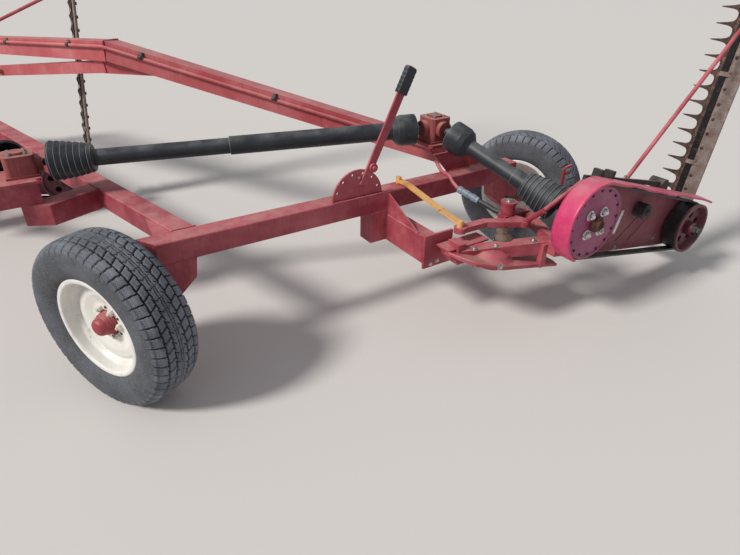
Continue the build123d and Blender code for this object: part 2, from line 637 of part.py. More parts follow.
# Wheels: leg with kingpin housing, stub axle, hub, rim and tyre
for wheel, kingpin_x, kingpin_y, outward in WHEELS:
    turn = math.radians(TRANSPORT_TURN)
    out_way = Vector(math.cos(turn), math.sin(turn), 0) * outward
    kingpin_foot = spot(kingpin_x, kingpin_y, 0)
    centre = kingpin_foot + out_way * STUB_LENGTH + Vector(0, 0, TYRE_R)
    axle = Axis(centre, out_way)
    section_plane = Plane(origin=centre, x_dir=out_way, z_dir=out_way.cross(Vector(0, 0, 1)))

    # Leg under the beam: housing for the kingpin and a tapered box beside it
    with BuildPart() as leg:
        inward = -outward
        slab(
            facing_rear(kingpin_x, 0, 0),
            (
                (-inward * (HOUSING_R - 2), BEAM_BOTTOM),
                (inward * LEG_REACH, BEAM_BOTTOM),
                (inward * (LEG_REACH - 12), LEG_LOW),
                (inward * 70, LEG_FOOT),
                (inward * (HOUSING_R + 8), LEG_FOOT),
                (inward * (HOUSING_R + 8), HOUSING_BOTTOM),
                (-inward * (HOUSING_R - 2), HOUSING_BOTTOM),
            ),
            72,
        )
        round_run(
            kingpin_foot + Vector(0, 0, HOUSING_BOTTOM),
            kingpin_foot + Vector(0, 0, BEAM_BOTTOM),
            HOUSING_R,
        )
        with BuildSketch(Plane(origin=kingpin_foot + Vector(0, 0, HOUSING_BOTTOM - 1))) as housing_bore:
            Circle(KINGPIN_R + KINGPIN_GAP)
        extrude(housing_bore.sketch, amount=BEAM_BOTTOM - 9 - HOUSING_BOTTOM, mode=Mode.SUBTRACT)
    leg.part.label = f"{wheel}_leg"
    export_step(leg.part, f"parts/{wheel}_leg.step")

    # Stub axle: kingpin, knuckle and spindle in one piece
    with BuildPart() as stub:
        round_run(
            kingpin_foot + Vector(0, 0, KNUCKLE_BOTTOM),
            kingpin_foot + Vector(0, 0, HOUSING_BOTTOM - KNUCKLE_GAP),
            KNUCKLE_R,
        )
        round_run(
            kingpin_foot + Vector(0, 0, HOUSING_BOTTOM - 5),
            kingpin_foot + Vector(0, 0, BEAM_BOTTOM - 16),
            KINGPIN_R,
        )
        round_run(centre - out_way * STUB_LENGTH, centre - out_way * 75, 28)
        round_run(centre - out_way * 80, centre + out_way * 60, SPINDLE_R)
    stub.part.label = f"{wheel}_stub_axle"
    export_step(stub.part, f"parts/{wheel}_stub_axle.step")

    # Hub: barrel, bolt flange, stepped dust cap and six lug nuts
    bore = SPINDLE_R + SPINDLE_GAP
    with BuildPart() as hub:
        turned(
            centre - out_way * 62,
            centre,
            (
                (0, bore),
                (0, 44),
                (60, 48),
                (64, 75),
                (76, 75),
                (78, 44),
                (98, 40),
                (102, 33),
                (140, 33),
                (142, 27),
                (160, 25),
                (163, 0),
                (124, 0),
                (124, bore),
            ),
        )
        nut_plane = Plane(origin=centre + out_way * 23, x_dir=(0, 0, 1), z_dir=out_way)
        with BuildSketch(nut_plane) as nuts:
            with PolarLocations(58, 6):
                RegularPolygon(radius=12, side_count=6)
        extrude(nuts.sketch, amount=20)
    hub.part.label = f"{wheel}_hub"
    export_step(hub.part, f"parts/{wheel}_hub.step")

    # Rim: flanged barrel with a drop centre and a dished disc
    with BuildPart() as rim:
        with BuildSketch(section_plane) as rim_section:
            with BuildLine():
                Polyline(
                    (-RIM_HALF, RIM_LIP_R),
                    (-RIM_HALF + 5, RIM_LIP_R),
                    (-RIM_HALF + 6, BEAD_R),
                    (-44, BEAD_R - 2),
                    (-36, 168),
                    (8, 168),
                    (30, BEAD_R - 2),
                    (RIM_HALF - 6, BEAD_R),
                    (RIM_HALF - 5, RIM_LIP_R),
                    (RIM_HALF, RIM_LIP_R),
                    (RIM_HALF - 1, BEAD_R - RIM_WALL),
                    (34, BEAD_R - 6),
                    (24, 170),
                    (40, 150),
                    (42, 120),
                    (23, 92),
                    (23, 50),
                    (16, 50),
                    (16, 94),
                    (34, 122),
                    (32, 146),
                    (10, 163),
                    (-40, 163),
                    (-48, BEAD_R - 6),
                    (-RIM_HALF + 1, BEAD_R - RIM_WALL),
                    close=True,
                )
            make_face()
        revolve(rim_section.sketch, axis=axle)
        hole_plane = Plane(origin=centre, x_dir=(0, 0, 1), z_dir=out_way)
        with BuildSketch(hole_plane) as vents:
            with PolarLocations(106, 8, start_angle=22):
                Circle(9)
        extrude(vents.sketch, amount=60, mode=Mode.SUBTRACT)
    rim.part.label = f"{wheel}_rim"
    export_step(rim.part, f"parts/{wheel}_rim.step")

    with BuildPart() as tyre:
        seat = BEAD_R + BEAD_GAP
        inner = RIM_HALF - 6 - BEAD_GAP
        with BuildSketch(section_plane) as tyre_section:
            with BuildLine():
                Polyline(
                    (-RIM_HALF - 4, RIM_LIP_R + 4),
                    (-inner, RIM_LIP_R + 2),
                    (-inner, seat),
                    (inner, seat),
                    (inner, RIM_LIP_R + 2),
                    (RIM_HALF + 4, RIM_LIP_R + 4),
                )
                ThreePointArc((RIM_HALF + 4, RIM_LIP_R + 4), (TYRE_HALF, 275), (TREAD_HALF + 3, TYRE_R - 16))
                Line((TREAD_HALF + 3, TYRE_R - 16), (TREAD_HALF - 6, TYRE_R - 4))
                ThreePointArc((TREAD_HALF - 6, TYRE_R - 4), (0, TYRE_R), (6 - TREAD_HALF, TYRE_R - 4))
                Line((6 - TREAD_HALF, TYRE_R - 4), (-TREAD_HALF - 3, TYRE_R - 16))
                ThreePointArc(
                    (-TREAD_HALF - 3, TYRE_R - 16), (-TYRE_HALF, 275), (-RIM_HALF - 4, RIM_LIP_R + 4)
                )
            make_face()
        revolve(tyre_section.sketch, axis=axle)
    tyre.part.label = f"{wheel}_tyre"
    export_step(tyre.part, f"parts/{wheel}_tyre.step")

# Hydraulic pipe along the arch, over the beam and on to the rear head
pipe_reach = ARCH_TUBE / 2 + PIPE_R + 2
up = Vector(0, 0, 1)
rise_side = up.cross(rise_way).normalized()
front_side = up.cross(front_way).normalized()
knee_side = (rise_side + front_side) / (1 + rise_side.dot(front_side))
with BuildPart() as pipe:
    pipe_points = [
        arch_front - front_way * 200 + front_side * pipe_reach + up * 30,
        arch_knee + knee_side * pipe_reach + up * 26,
        arch_foot + rise_way * 380 + rise_side * pipe_reach + up * 20,
        spot(1512, 30, BEAM_TOP + PIPE_R + 0.5),
        spot(1501, -50, BEAM_TOP + PIPE_R + 0.5),
        spot(1499, -78, 580),
        spot(1500, -120, 560),
    ]
    with BuildLine() as pipe_path:
        FilletPolyline(*pipe_points, radius=40)
    with BuildSketch(Plane(origin=pipe_path.line @ 0, z_dir=pipe_path.line % 0)) as pipe_section:
        Circle(PIPE_R)
    sweep(pipe_section.sketch, path=pipe_path.line)
pipe.part.label = "hydraulic_pipe"
export_step(pipe.part, "parts/hydraulic_pipe.step")


# Silver coupling and hose from the pipe down to the rear head
with BuildPart() as hose:
    coupling_end = spot(1537, -238, 527)
    round_run(spot(1501.5, -125.5, 558), coupling_end, HOSE_R + 2)
    with BuildLine() as hose_path:
        FilletPolyline(coupling_end, spot(1566, -322, 502), spot(1575, -359, 500), radius=40)
    with BuildSketch(Plane(origin=hose_path.line @ 0, z_dir=hose_path.line % 0)) as hose_section:
        Circle(HOSE_R)
    sweep(hose_section.sketch, path=hose_path.line)
hose.part.label = "hydraulic_hose"
export_step(hose.part, "parts/hydraulic_hose.step")

# Flat link from the beam's top to the rear head's arm
with BuildPart() as flat_link:
    link_points = (
        spot(1235, 22, BEAM_TOP + 14),
        spot(1238, -50, BEAM_TOP + 14),
        spot(1252, -290, 562),
        spot(1292, -400, 520),
    )
    for first, second in zip(link_points, link_points[1:]):
        square_run(first, second, 34, 9)
    round_run(spot(1235, 22, BEAM_TOP + 0.3), spot(1235, 22, BEAM_TOP + 32), 14)
    round_run(spot(1280, -392, 510.3), spot(1280, -392, 540), 14)
flat_link.part.label = "flat_link"
export_step(flat_link.part, "parts/flat_link.step")


def tangent_hull(centre, radius, other, other_radius):
    """Outline round two circles of different size, as a belt runs round them."""
    across = math.hypot(other[0] - centre[0], other[1] - centre[1])
    heading = math.atan2(other[1] - centre[1], other[0] - centre[0])
    opening = math.acos((radius - other_radius) / across)
    corners = []
    for middle, reach, sign in (
        (centre, radius, 1),
        (other, other_radius, 1),
        (other, other_radius, -1),
        (centre, radius, -1),
    ):
        angle = heading + sign * opening
        corners.append((middle[0] + reach * math.cos(angle), middle[1] + reach * math.sin(angle)))
    with Locations(centre):
        Circle(radius)
    with Locations(other):
        Circle(other_radius)
    Polygon(*corners, align=None)


# Cutter bar's own directions: along the bar, and away from its upper face
lean = math.radians(BAR_LEAN)
bar_way = Vector(math.sin(lean), 0, math.cos(lean))
bar_up = Vector(-math.cos(lean), 0, math.sin(lean))
bar_end = BAR_START + GUARD_COUNT * GUARD_PITCH
lug_half = (BAR_WIDTH + 5) / 2
lug_middle = BAR_FRONT - BAR_WIDTH / 2

# Head table: name, shaft's reach to the front and rear of the drum,
# transport rod's foot, how far along the bar the rod's pad is, linkage's end
HEAD_ENDS = {
    "rear": (109.7, 70, (2120, -609, 618), 1148, 2470),
    "front": (218, 93.7, (2322, 300, 1121.6), 1225, 2230),
}

for head, move_x, move_y, move_z in HEADS:
    shaft_front, shaft_rear, rod_foot, rod_place, linkage_end = HEAD_ENDS[head]
    linkage_height = LINKAGE_LEFT[1] - (linkage_end - LINKAGE_LEFT[0]) * LINKAGE_FALL
    base = spot(move_x, move_y, move_z)
    drum = base + Vector(DRUM_AXIS[0], 0, DRUM_AXIS[1])
    crank = base + Vector(CRANK_AXIS[0], 0, CRANK_AXIS[1])
    hinge = base + Vector(BAR_HINGE[0], 0, BAR_HINGE[1])
    rear = Vector(0, -1, 0)

    # Post under the beam with a box arm to the rear and a gusset
    with BuildPart() as post:
        with BuildSketch(Plane(origin=base + Vector(1075, 0, 345))) as post_section:
            Rectangle(90, 94)
        extrude(post_section.sketch, amount=BEAM_BOTTOM - 345)
        with BuildSketch(Plane(origin=base + Vector(1157.5, -151.5, 345))) as arm_section:
            RectangleRounded(75, 397, 6)
        extrude(arm_section.sketch, amount=130)
        with BuildSketch(Plane(origin=base + Vector(1190, -356, 328))) as end_section:
            Rectangle(160, 12)
        extrude(end_section.sketch, amount=162)
        slab(
            Plane(origin=base + Vector(1128, 0, 0), x_dir=(0, 1, 0), z_dir=(1, 0, 0)),
            ((-TUBE / 2, BEAM_TOP - 6), (-TUBE / 2, 475), (-290, 475)),
            8,
        )
    post.part.label = f"{head}_post"
    export_step(post.part, f"parts/{head}_post.step")

    # Head frame: hinge barrel, arms, bent rod, plate, boss, spar and pressed pan
    arm_points = ((1283, -392, 497), (1431, -398, 497), (1588, -492, 497))
    rod_points = ((1588, -492, 500), ROD_BEND, (1751, -637, 714))
    with BuildPart() as carrier:
        round_run(base + Vector(1235, -362, 400), base + Vector(1235, -470, 400), 30)
        square_run(base + Vector(1235, -395, 418), base + Vector(1235, -470, 418), 40, 96)
        square_run(base + Vector(1235, -440, 405), base + Vector(1640, -612, 425), 64, 58)
        square_run(base + Vector(1540, -395, 485), base + Vector(1700, -395, 485), 50, 50)
        for first, second in zip(arm_points, arm_points[1:]):
            square_run(base + Vector(*first), base + Vector(*second), 44, ARM_PLATE)
        for place, radius in zip(arm_points, (28, 22, 30)):
            low_face = base + Vector(*place) - Vector(0, 0, ARM_PLATE / 2)
            round_run(low_face, low_face + Vector(0, 0, ARM_PLATE), radius)
        square_run(base + Vector(1575, -395, 490), base + Vector(*arm_points[2]), 44, 30)
        for first, second in zip(rod_points, rod_points[1:]):
            round_run(base + Vector(*first), base + Vector(*second), 12)
        square_run(base + Vector(1588, -625, 330), base + Vector(1588, -625, 446), 30, 26)
        square_run(base + Vector(1700, -380, 485), base + Vector(1660, -640, 430), 44, 44)
        round_run(base + Vector(1575, -395, 470), base + Vector(1575, -395, 562), 34)
        round_run(base + Vector(1575, -395, 562), base + Vector(1575, -395, 574), 38)
        with BuildSketch(Plane(origin=base + Vector(1290, -412, 436))) as top_plate:
            Rectangle(240, 84)
        extrude(top_plate.sketch, amount=8)
        slab(
            Plane(origin=base + Vector(0, BACK_PLATE_Y + 39, 0), x_dir=(1, 0, 0), z_dir=(0, -1, 0)),
            ((1600, 400), (1600, 470), (SHOE_START, 280), (SHOE_START, 210)),
            78,
        )
        slab(
            Plane(
                origin=base + Vector(1160, -600, 432),
                x_dir=(math.cos(math.radians(13)), 0, -math.sin(math.radians(13))),
                z_dir=(math.sin(math.radians(13)), 0, math.cos(math.radians(13))),
            ),
            ((0, 160), (60, 20), (180, -30), (560, -30), (560, 180), (420, 220), (60, 215)),
            12,
        )
        round_run(base + Vector(1392, -505, 350), base + Vector(1392, -505, 405), 74)
        post_top = base + Vector(linkage_end, -632, linkage_height - 16)
        square_run(base + Vector(linkage_end, -632, 300), post_top, 36, 14)
        square_run(base + Vector(2120, -609, 340), base + Vector(2120, -609, 617.7), 50, 12)
        round_run(base + Vector(1863, -450, 500), base + Vector(1863, -450, 700), 7)
        round_run(base + Vector(1863, -450, 700), base + Vector(1910, -450, 706), 7)
        round_run(base + Vector(1863, -450, 670), base + Vector(1905, -450, 672), 7)
        round_run(base + Vector(1863, -450, 506), base + Vector(1863, -612, 402), 7)
    carrier.part.label = f"{head}_head_frame"
    export_step(carrier.part, f"parts/{head}_head_frame.step")

    # Backing plate with slots, and bearing housings for both shafts
    with BuildPart() as back_plate:
        plate_face = Plane(origin=base + Vector(0, BACK_PLATE_Y, 0), x_dir=(1, 0, 0), z_dir=(0, -1, 0))
        with BuildSketch(plate_face) as plate_outline:
            tangent_hull(DRUM_AXIS, DRUM_R + BELT + SHROUD_GAP - PLATE_GAP, CRANK_AXIS, 122)
            for slot_x, slot_z in ((2120, 420), (2230, 400)):
                with Locations(Location((slot_x, slot_z, 0), (0, 0, 35))):
                    SlotOverall(190, 10, mode=Mode.SUBTRACT)
        extrude(plate_outline.sketch, amount=BACK_PLATE)
        round_run(drum + Vector(0, BACK_PLATE_Y, 0), drum + Vector(0, -600, 0), 46)
        round_run(crank + Vector(0, BACK_PLATE_Y, 0), crank + Vector(0, -600, 0), 42)
        for axle_place in (drum, crank):
            with BuildSketch(Plane(origin=axle_place + Vector(0, -590, 0), z_dir=(0, -1, 0))) as bearing_bore:
                Circle(JOURNAL_R + SHAFT_GAP)
            extrude(bearing_bore.sketch, amount=130, mode=Mode.SUBTRACT)
        round_run(base + Vector(2160, -688, 515), base + Vector(2160, -742, 515), 34)
        round_run(base + Vector(2160, -742, 515), base + Vector(2160, -752, 515), 14)
    back_plate.part.label = f"{head}_back_plate"
    export_step(back_plate.part, f"parts/{head}_back_plate.step")

    # Shroud: a band round the drum that runs on as a strip over the belt
    slope = math.radians(73.5)
    low = math.radians(235)
    shroud_out = DRUM_R + BELT + SHROUD_GAP + SHROUD
    shroud_in = shroud_out - SHROUD
    strip = 985
    with BuildPart() as shroud:
        shroud_face = Plane(origin=base + Vector(0, BACK_PLATE_Y, 0), x_dir=(1, 0, 0), z_dir=(0, -1, 0))
        with BuildSketch(shroud_face) as shroud_outline:
            with BuildLine():
                ends = []
                for reach in (shroud_out, shroud_in):
                    top = (DRUM_AXIS[0] + reach * math.cos(slope), DRUM_AXIS[1] + reach * math.sin(slope))
                    left = (DRUM_AXIS[0] - reach, DRUM_AXIS[1])
                    bottom = (DRUM_AXIS[0] + reach * math.cos(low), DRUM_AXIS[1] + reach * math.sin(low))
                    tip = (top[0] + strip * math.sin(slope), top[1] - strip * math.cos(slope))
                    Line(tip, top)
                    ThreePointArc(top, left, bottom)
                    ends.append((tip, bottom))
                Line(ends[0][0], ends[1][0])
                Line(ends[0][1], ends[1][1])
            make_face()
        extrude(shroud_outline.sketch, amount=BACK_PLATE_Y - SHROUD_REAR)
    shroud.part.label = f"{head}_shroud"
    export_step(shroud.part, f"parts/{head}_shroud.step")

    # Drive drum with its shaft, rim holes and four bolts
    drum_front = drum + Vector(0, BELT_FRONT + 4, 0)
    with BuildPart() as drive_pulley:
        turned(
            drum_front,
            drum_front + rear,
            (
                (shaft_rear, 0),
                (-shaft_front, 0),
                (-shaft_front, DRIVE_SHAFT_R),
                (-STUB_FOOT, DRIVE_SHAFT_R),
                (-STUB_FOOT, JOURNAL_R),
                (0, JOURNAL_R),
                (0, 30),
                (44, 30),
                (44, 158),
                (0, 158),
                (0, DRUM_R),
                (50, DRUM_R),
                (52, DRUM_R - 4),
                (52, DRUM_HUB_R),
                (68, DRUM_HUB_R),
                (68, JOURNAL_R),
                (shaft_rear, JOURNAL_R),
            ),
        )
        holes_plane = Plane(origin=drum_front + rear * 40, x_dir=(1, 0, 0), z_dir=(0, -1, 0))
        with BuildSketch(holes_plane) as rim_holes:
            with PolarLocations(150, 16):
                Circle(4)
        extrude(rim_holes.sketch, amount=20, mode=Mode.SUBTRACT)
        bolts_plane = Plane(origin=drum_front + rear * 52, x_dir=(1, 0, 0), z_dir=(0, -1, 0))
        with BuildSketch(bolts_plane) as drum_bolts:
            with PolarLocations(64, 4, start_angle=45):
                RegularPolygon(radius=14, side_count=6)
        extrude(drum_bolts.sketch, amount=12)
    drive_pulley.part.label = f"{head}_drive_pulley"
    export_step(drive_pulley.part, f"parts/{head}_drive_pulley.step")

    # Driven pulley on the crank's shaft, with five windows in its web
    crank_front = crank + Vector(0, BELT_FRONT + 4, 0)
    with BuildPart() as driven_pulley:
        turned(
            crank_front,
            crank_front + rear,
            (
                (128, 0),
                (-104, 0),
                (-104, JOURNAL_R),
                (0, JOURNAL_R),
                (0, 34),
                (44, 34),
                (44, 110),
                (0, 110),
                (0, CRANK_R - 6),
                (62, CRANK_R - 6),
                (66, CRANK_R),
                (BELT_FRONT + 4 - CRANK_REAR, CRANK_R),
                (BELT_FRONT + 4 - CRANK_REAR, CRANK_R - 12),
                (56, 110),
                (56, 36),
                (98, 34),
                (98, 20),
                (128, 20),
            ),
        )
        with BuildSketch(Plane(origin=crank_front + rear * 40, x_dir=(1, 0, 0), z_dir=(0, -1, 0))) as windows:
            with PolarLocations(73, 5, start_angle=18):
                Circle(20)
        extrude(windows.sketch, amount=20, mode=Mode.SUBTRACT)
    driven_pulley.part.label = f"{head}_driven_pulley"
    export_step(driven_pulley.part, f"parts/{head}_driven_pulley.step")

    # Belt round the drum and the driven pulley
    with BuildPart() as belt:
        with BuildSketch(
            Plane(origin=base + Vector(0, BELT_FRONT, 0), x_dir=(1, 0, 0), z_dir=(0, -1, 0))
        ) as belt_outline:
            tangent_hull(
                DRUM_AXIS, DRUM_R + BELT_GAP + BELT, CRANK_AXIS, CRANK_R - 6 + BELT_GAP + BELT
            )
            with BuildSketch(mode=Mode.SUBTRACT):
                tangent_hull(DRUM_AXIS, DRUM_R + BELT_GAP, CRANK_AXIS, CRANK_R - 6 + BELT_GAP)
        extrude(belt_outline.sketch, amount=40)
    belt.part.label = f"{head}_belt"
    export_step(belt.part, f"parts/{head}_belt.step")

    # Inner shoe: two ears with the hinge pin, a block and a runner with a raised nose
    with BuildPart() as shoe:
        for ear_y in (lug_middle + lug_half + 5, lug_middle - lug_half - 5 - SHOE_PLATE):
            ear_face = Plane(
                origin=base + Vector(0, ear_y + SHOE_PLATE, 0), x_dir=(1, 0, 0), z_dir=(0, -1, 0)
            )
            with BuildSketch(ear_face) as ear:
                with Locations(BAR_HINGE):
                    Circle(30)
                with BuildLine():
                    Polyline(
                        (BAR_HINGE[0], BAR_HINGE[1] + 30),
                        (BAR_HINGE[0] - 100, BAR_HINGE[1] + 40),
                        (BAR_HINGE[0] - 130, BAR_HINGE[1] - 55),
                        (BAR_HINGE[0], BAR_HINGE[1] - 30),
                        close=True,
                    )
                make_face()
            extrude(ear.sketch, amount=SHOE_PLATE)
        pin_front = hinge + Vector(0, lug_middle + lug_half + 5 + SHOE_PLATE + 4, 0)
        round_run(pin_front, pin_front + rear * (2 * lug_half + 10 + 2 * SHOE_PLATE + 8), HINGE_PIN_R)
        with BuildSketch(Plane(origin=base + Vector(SHOE_START + 35, lug_middle, 194))) as shoe_block:
            Rectangle(70, 2 * lug_half + 10 + 2 * SHOE_PLATE)
        extrude(shoe_block.sketch, amount=86)
        slab(
            Plane(origin=base + Vector(2675, 0, 0), x_dir=(0, 1, 0), z_dir=(1, 0, 0)),
            (
                (-700, 184),
                (-480, 184),
                (-420, 204),
                (-385, 240),
                (-392, 246),
                (-426, 214),
                (-482, 196),
                (-700, 196),
            ),
            90,
        )
    shoe.part.label = f"{head}_inner_shoe"
    export_step(shoe.part, f"parts/{head}_inner_shoe.step")

    # Bar with its hinge lug, hold-down clips and outer shoe
    bar_origin = hinge + Vector(0, BAR_FRONT, 0)
    bar_face = Plane(origin=bar_origin, x_dir=bar_way, z_dir=bar_up)
    bar_side = Plane(origin=bar_origin, x_dir=(0, 1, 0), z_dir=bar_way)
    with BuildPart() as bar:
        with BuildSketch(bar_face) as bar_outline:
            with Locations(((BAR_START + bar_end) / 2 - 20, -BAR_WIDTH / 2)):
                Rectangle(bar_end - BAR_START + 40, BAR_WIDTH)
        extrude(bar_outline.sketch, amount=-BAR_THICK)
        lug_face = Plane(origin=hinge + Vector(0, lug_middle + lug_half, 0), x_dir=bar_way, z_dir=(0, -1, 0))
        with BuildSketch(lug_face) as lug_outline:
            Circle(25)
            with BuildLine():
                Polyline((0, 25), (55, 18), (95, 2), (95, -14), (55, -25), (0, -25), close=True)
            make_face()
            Circle(HINGE_PIN_R + HINGE_GAP, mode=Mode.SUBTRACT)
        extrude(lug_outline.sketch, amount=2 * lug_half)
        for clip in range(6):
            clip_start = bar_side.offset(BAR_START + (6 * clip + 3.35) * GUARD_PITCH)
            with BuildSketch(clip_start) as clip_outline:
                with BuildLine():
                    Polyline(
                        (-62, 0),
                        (-23.5, 0),
                        (-23.5, 5.9),
                        (14, 5.9),
                        (14, 9.6),
                        (-27, 9.6),
                        (-34, 5),
                        (-62, 5),
                        close=True,
                    )
                make_face()
            extrude(clip_outline.sketch, amount=22)
        with BuildSketch(bar_side.offset(bar_end)) as outer_shoe:
            with BuildLine():
                Polyline(
                    (-120, -14),
                    (-95, 0),
                    (60, 4),
                    (165, -6),
                    (150, -18),
                    (60, -40),
                    (-90, -40),
                    close=True,
                )
            make_face()
        extrude(outer_shoe.sketch, amount=16)
    bar.part.label = f"{head}_cutter_bar"
    export_step(bar.part, f"parts/{head}_cutter_bar.step")

    # Guards: a comb in plan, cut by the guards' side outline with the knife's slot
    with BuildPart() as guards:
        with BuildSketch(bar_face.offset(-26)) as comb:
            outline = [(BAR_START + 5, -55)]
            for guard in range(GUARD_COUNT):
                middle = BAR_START + (guard + 0.5) * GUARD_PITCH
                for away, reach in ((-34, 30), (-22, 33), (-13, 43), (-7.5, 66), (-2.2, GUARD_TIP)):
                    outline.append((middle + away, reach))
                for away, reach in ((2.2, GUARD_TIP), (7.5, 66), (13, 43), (22, 33), (34, 30)):
                    outline.append((middle + away, reach))
            outline.append((bar_end, 30))
            outline.append((bar_end, -55))
            with BuildLine():
                Polyline(*outline, close=True)
            make_face()
        extrude(comb.sketch, amount=40)
        with BuildSketch(bar_side.offset(BAR_START)) as guard_side:
            with BuildLine():
                Polyline(
                    (-55, -BAR_THICK),
                    (0.3, -BAR_THICK),
                    (0.3, 0.9),
                    (76, 0.9),
                    (76, 6),
                    (28, 6),
                    (28, 9),
                    (70, 11),
                    (GUARD_TIP, 0),
                    (GUARD_TIP, -4),
                    (60, -14),
                    (0, -22),
                    (-55, -17),
                    close=True,
                )
            make_face()
        extrude(guard_side.sketch, amount=GUARD_COUNT * GUARD_PITCH, mode=Mode.INTERSECT)
    guards.part.label = f"{head}_guards"
    export_step(guards.part, f"parts/{head}_guards.step")

    # Knife: a back strip with three-cornered sections
    with BuildPart() as knife:
        with BuildSketch(bar_face.offset(KNIFE_RISE)) as knife_outline:
            outline = [(BAR_START + 50, -22), (BAR_START + 50, 8)]
            for section in range(1, GUARD_COUNT - 1):
                middle = BAR_START + (section + 0.5) * GUARD_PITCH
                for away, reach in ((-36, 14), (-7, KNIFE_TIP), (7, KNIFE_TIP), (36, 14)):
                    outline.append((middle + away, reach))
            outline.append((bar_end - 46, 8))
            outline.append((bar_end - 46, -22))
            with BuildLine():
                Polyline(*outline, close=True)
            make_face()
        extrude(knife_outline.sketch, amount=KNIFE)
    knife.part.label = f"{head}_knife"
    export_step(knife.part, f"parts/{head}_knife.step")

    # Transport rod that holds the raised bar, with its ear and pad
    pad = hinge + Vector(0, -608, 0) + bar_way * rod_place + bar_up * 0.3
    foot = base + Vector(*rod_foot)
    with BuildPart() as rod:
        square_run(foot, foot + Vector(0, 0, 24), 46, 30)
        round_run(foot + Vector(0, 0, 12), pad + bar_up * 9, 10)
        square_run(pad, pad + bar_up * 14, 44, 44)
    rod.part.label = f"{head}_transport_rod"
    export_step(rod.part, f"parts/{head}_transport_rod.step")

    # Linkage over the shroud: lift arm, dark bar, ears, pin and roller
    with BuildPart() as linkage:
        linkage_left = base + Vector(LINKAGE_LEFT[0], -640, LINKAGE_LEFT[1])
        linkage_right = base + Vector(linkage_end, -640, linkage_height)
        linkage_way = (linkage_right - linkage_left).normalized()
        square_run(linkage_left - linkage_way * 20, linkage_right + linkage_way * 20, 16, 22)
        for ear_place in (75, 165):
            ear_foot = linkage_left + linkage_way * ear_place
            square_run(ear_foot, ear_foot + Vector(8, 0, 42), 44, 26)
        roller = linkage_right - linkage_way * 60
        round_run(roller - Vector(0, 22, 0), roller + Vector(0, 55, 0), 28)
    linkage.part.label = f"{head}_lift_linkage"
    export_step(linkage.part, f"parts/{head}_lift_linkage.step")
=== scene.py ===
import math

import bpy
import numpy as np
from bpy.props import FloatProperty, FloatVectorProperty, IntProperty, PointerProperty
from mathutils import Matrix, Vector


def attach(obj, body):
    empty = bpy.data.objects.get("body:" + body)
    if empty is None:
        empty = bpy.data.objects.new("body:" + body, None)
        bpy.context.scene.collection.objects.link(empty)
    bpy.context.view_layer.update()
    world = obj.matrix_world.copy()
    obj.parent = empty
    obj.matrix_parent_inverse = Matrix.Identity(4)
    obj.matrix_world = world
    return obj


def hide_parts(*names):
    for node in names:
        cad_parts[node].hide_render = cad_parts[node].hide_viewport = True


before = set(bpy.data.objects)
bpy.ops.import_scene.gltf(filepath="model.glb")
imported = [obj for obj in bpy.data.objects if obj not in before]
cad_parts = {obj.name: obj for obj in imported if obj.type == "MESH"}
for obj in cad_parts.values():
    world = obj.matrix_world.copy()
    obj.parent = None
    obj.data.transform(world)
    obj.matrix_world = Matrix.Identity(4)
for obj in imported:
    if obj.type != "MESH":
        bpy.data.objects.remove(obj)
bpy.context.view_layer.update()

bl_info = {
    "name": "Sickle bar mower finish",
    "version": (1, 0, 0),
    "blender": (4, 5, 0),
    "location": "View3D > Sidebar > Mower",
    "description": "Tyres, shrouds, welds, bolts and weathered paint for a towed sickle bar mower",
    "category": "Object",
}

# Places and sizes are in millimetres from the ground below the beam's left end, unless said otherwise.
# That point itself lies here from the hitch pin's hole:
GROUND = np.array([860.66, -4150.0, -450.0])
RIGHT = np.array([1.0, 0.0, 0.0])
AHEAD = np.array([0.0, 1.0, 0.0])
REAR = np.array([0.0, -1.0, 0.0])
UP = np.array([0.0, 0.0, 1.0])

# How far each head stands from the rear one, and the axes of the rear one's drum and driven pulley
HEADS = {"rear": np.array([0.0, 0.0, 0.0]), "front": np.array([-2665.0, 2700.0, -95.0])}
DRUM_X, DRUM_Z = 1734.0, 563.0
CRANK_X, CRANK_Z = 2575.0, 342.0
# The raised bars: hinge of the rear one, lean from upright, start, count and pitch of the guards
BAR_HINGE = np.array([2755.0, -555.0, 250.0])
BAR_LEAN = math.radians(7)
GUARD_START, GUARD_COUNT, GUARD_STEP = 100, 36, 76.2

# Each wheel's middle, 220 mm outside its kingpin, and the way that its axle points outwards
TRANSPORT_TURN = math.radians(27.5)
AXLE = np.array([math.cos(TRANSPORT_TURN), math.sin(TRANSPORT_TURN), 0.0])
WHEELS = {
    "left": (np.array([45.0, 24.0, 349.0]) - 220 * AXLE, -AXLE),
    "right": (np.array([1993.0, -24.0, 349.0]) + 220 * AXLE, AXLE),
}

# The middle line of the high arch: its foot on the beam, its knee and its front end
ARCH_FOOT = np.array([1910.0, 47.5, 546.5])
ARCH_KNEE = np.array([280.0, 1390.0, 1090.0])
ARCH_TIP = np.array([-660.0, 3850.0, 912.0])
# Where the middle of the tongue's top face leaves the beam, and how far it is turned to the left
TONGUE_FOOT = np.array([185.0, 47.5, 594.5])
TONGUE_TURN = math.radians(14.3)


def metres(points):
    """Places in millimetres from the ground below the beam's left end, in the part's own metres."""
    return (np.asarray(points, dtype=float) + GROUND) / 1000.0


def unit(vectors):
    """One vector or a row of vectors, each at length one."""
    return vectors / np.linalg.norm(vectors, axis=-1, keepdims=True)


def srgb(red, green, blue):
    """A colour as it is seen, from 0 to 255, as the linear numbers that a shader takes."""
    shown = np.array([red, green, blue], dtype=float) / 255.0
    linear = np.where(shown <= 0.04045, shown / 12.92, ((shown + 0.055) / 1.055) ** 2.4)
    return tuple(float(v) for v in linear)


def shade(colour, share):
    """A colour made darker or lighter by a share."""
    return tuple(share * c for c in colour)


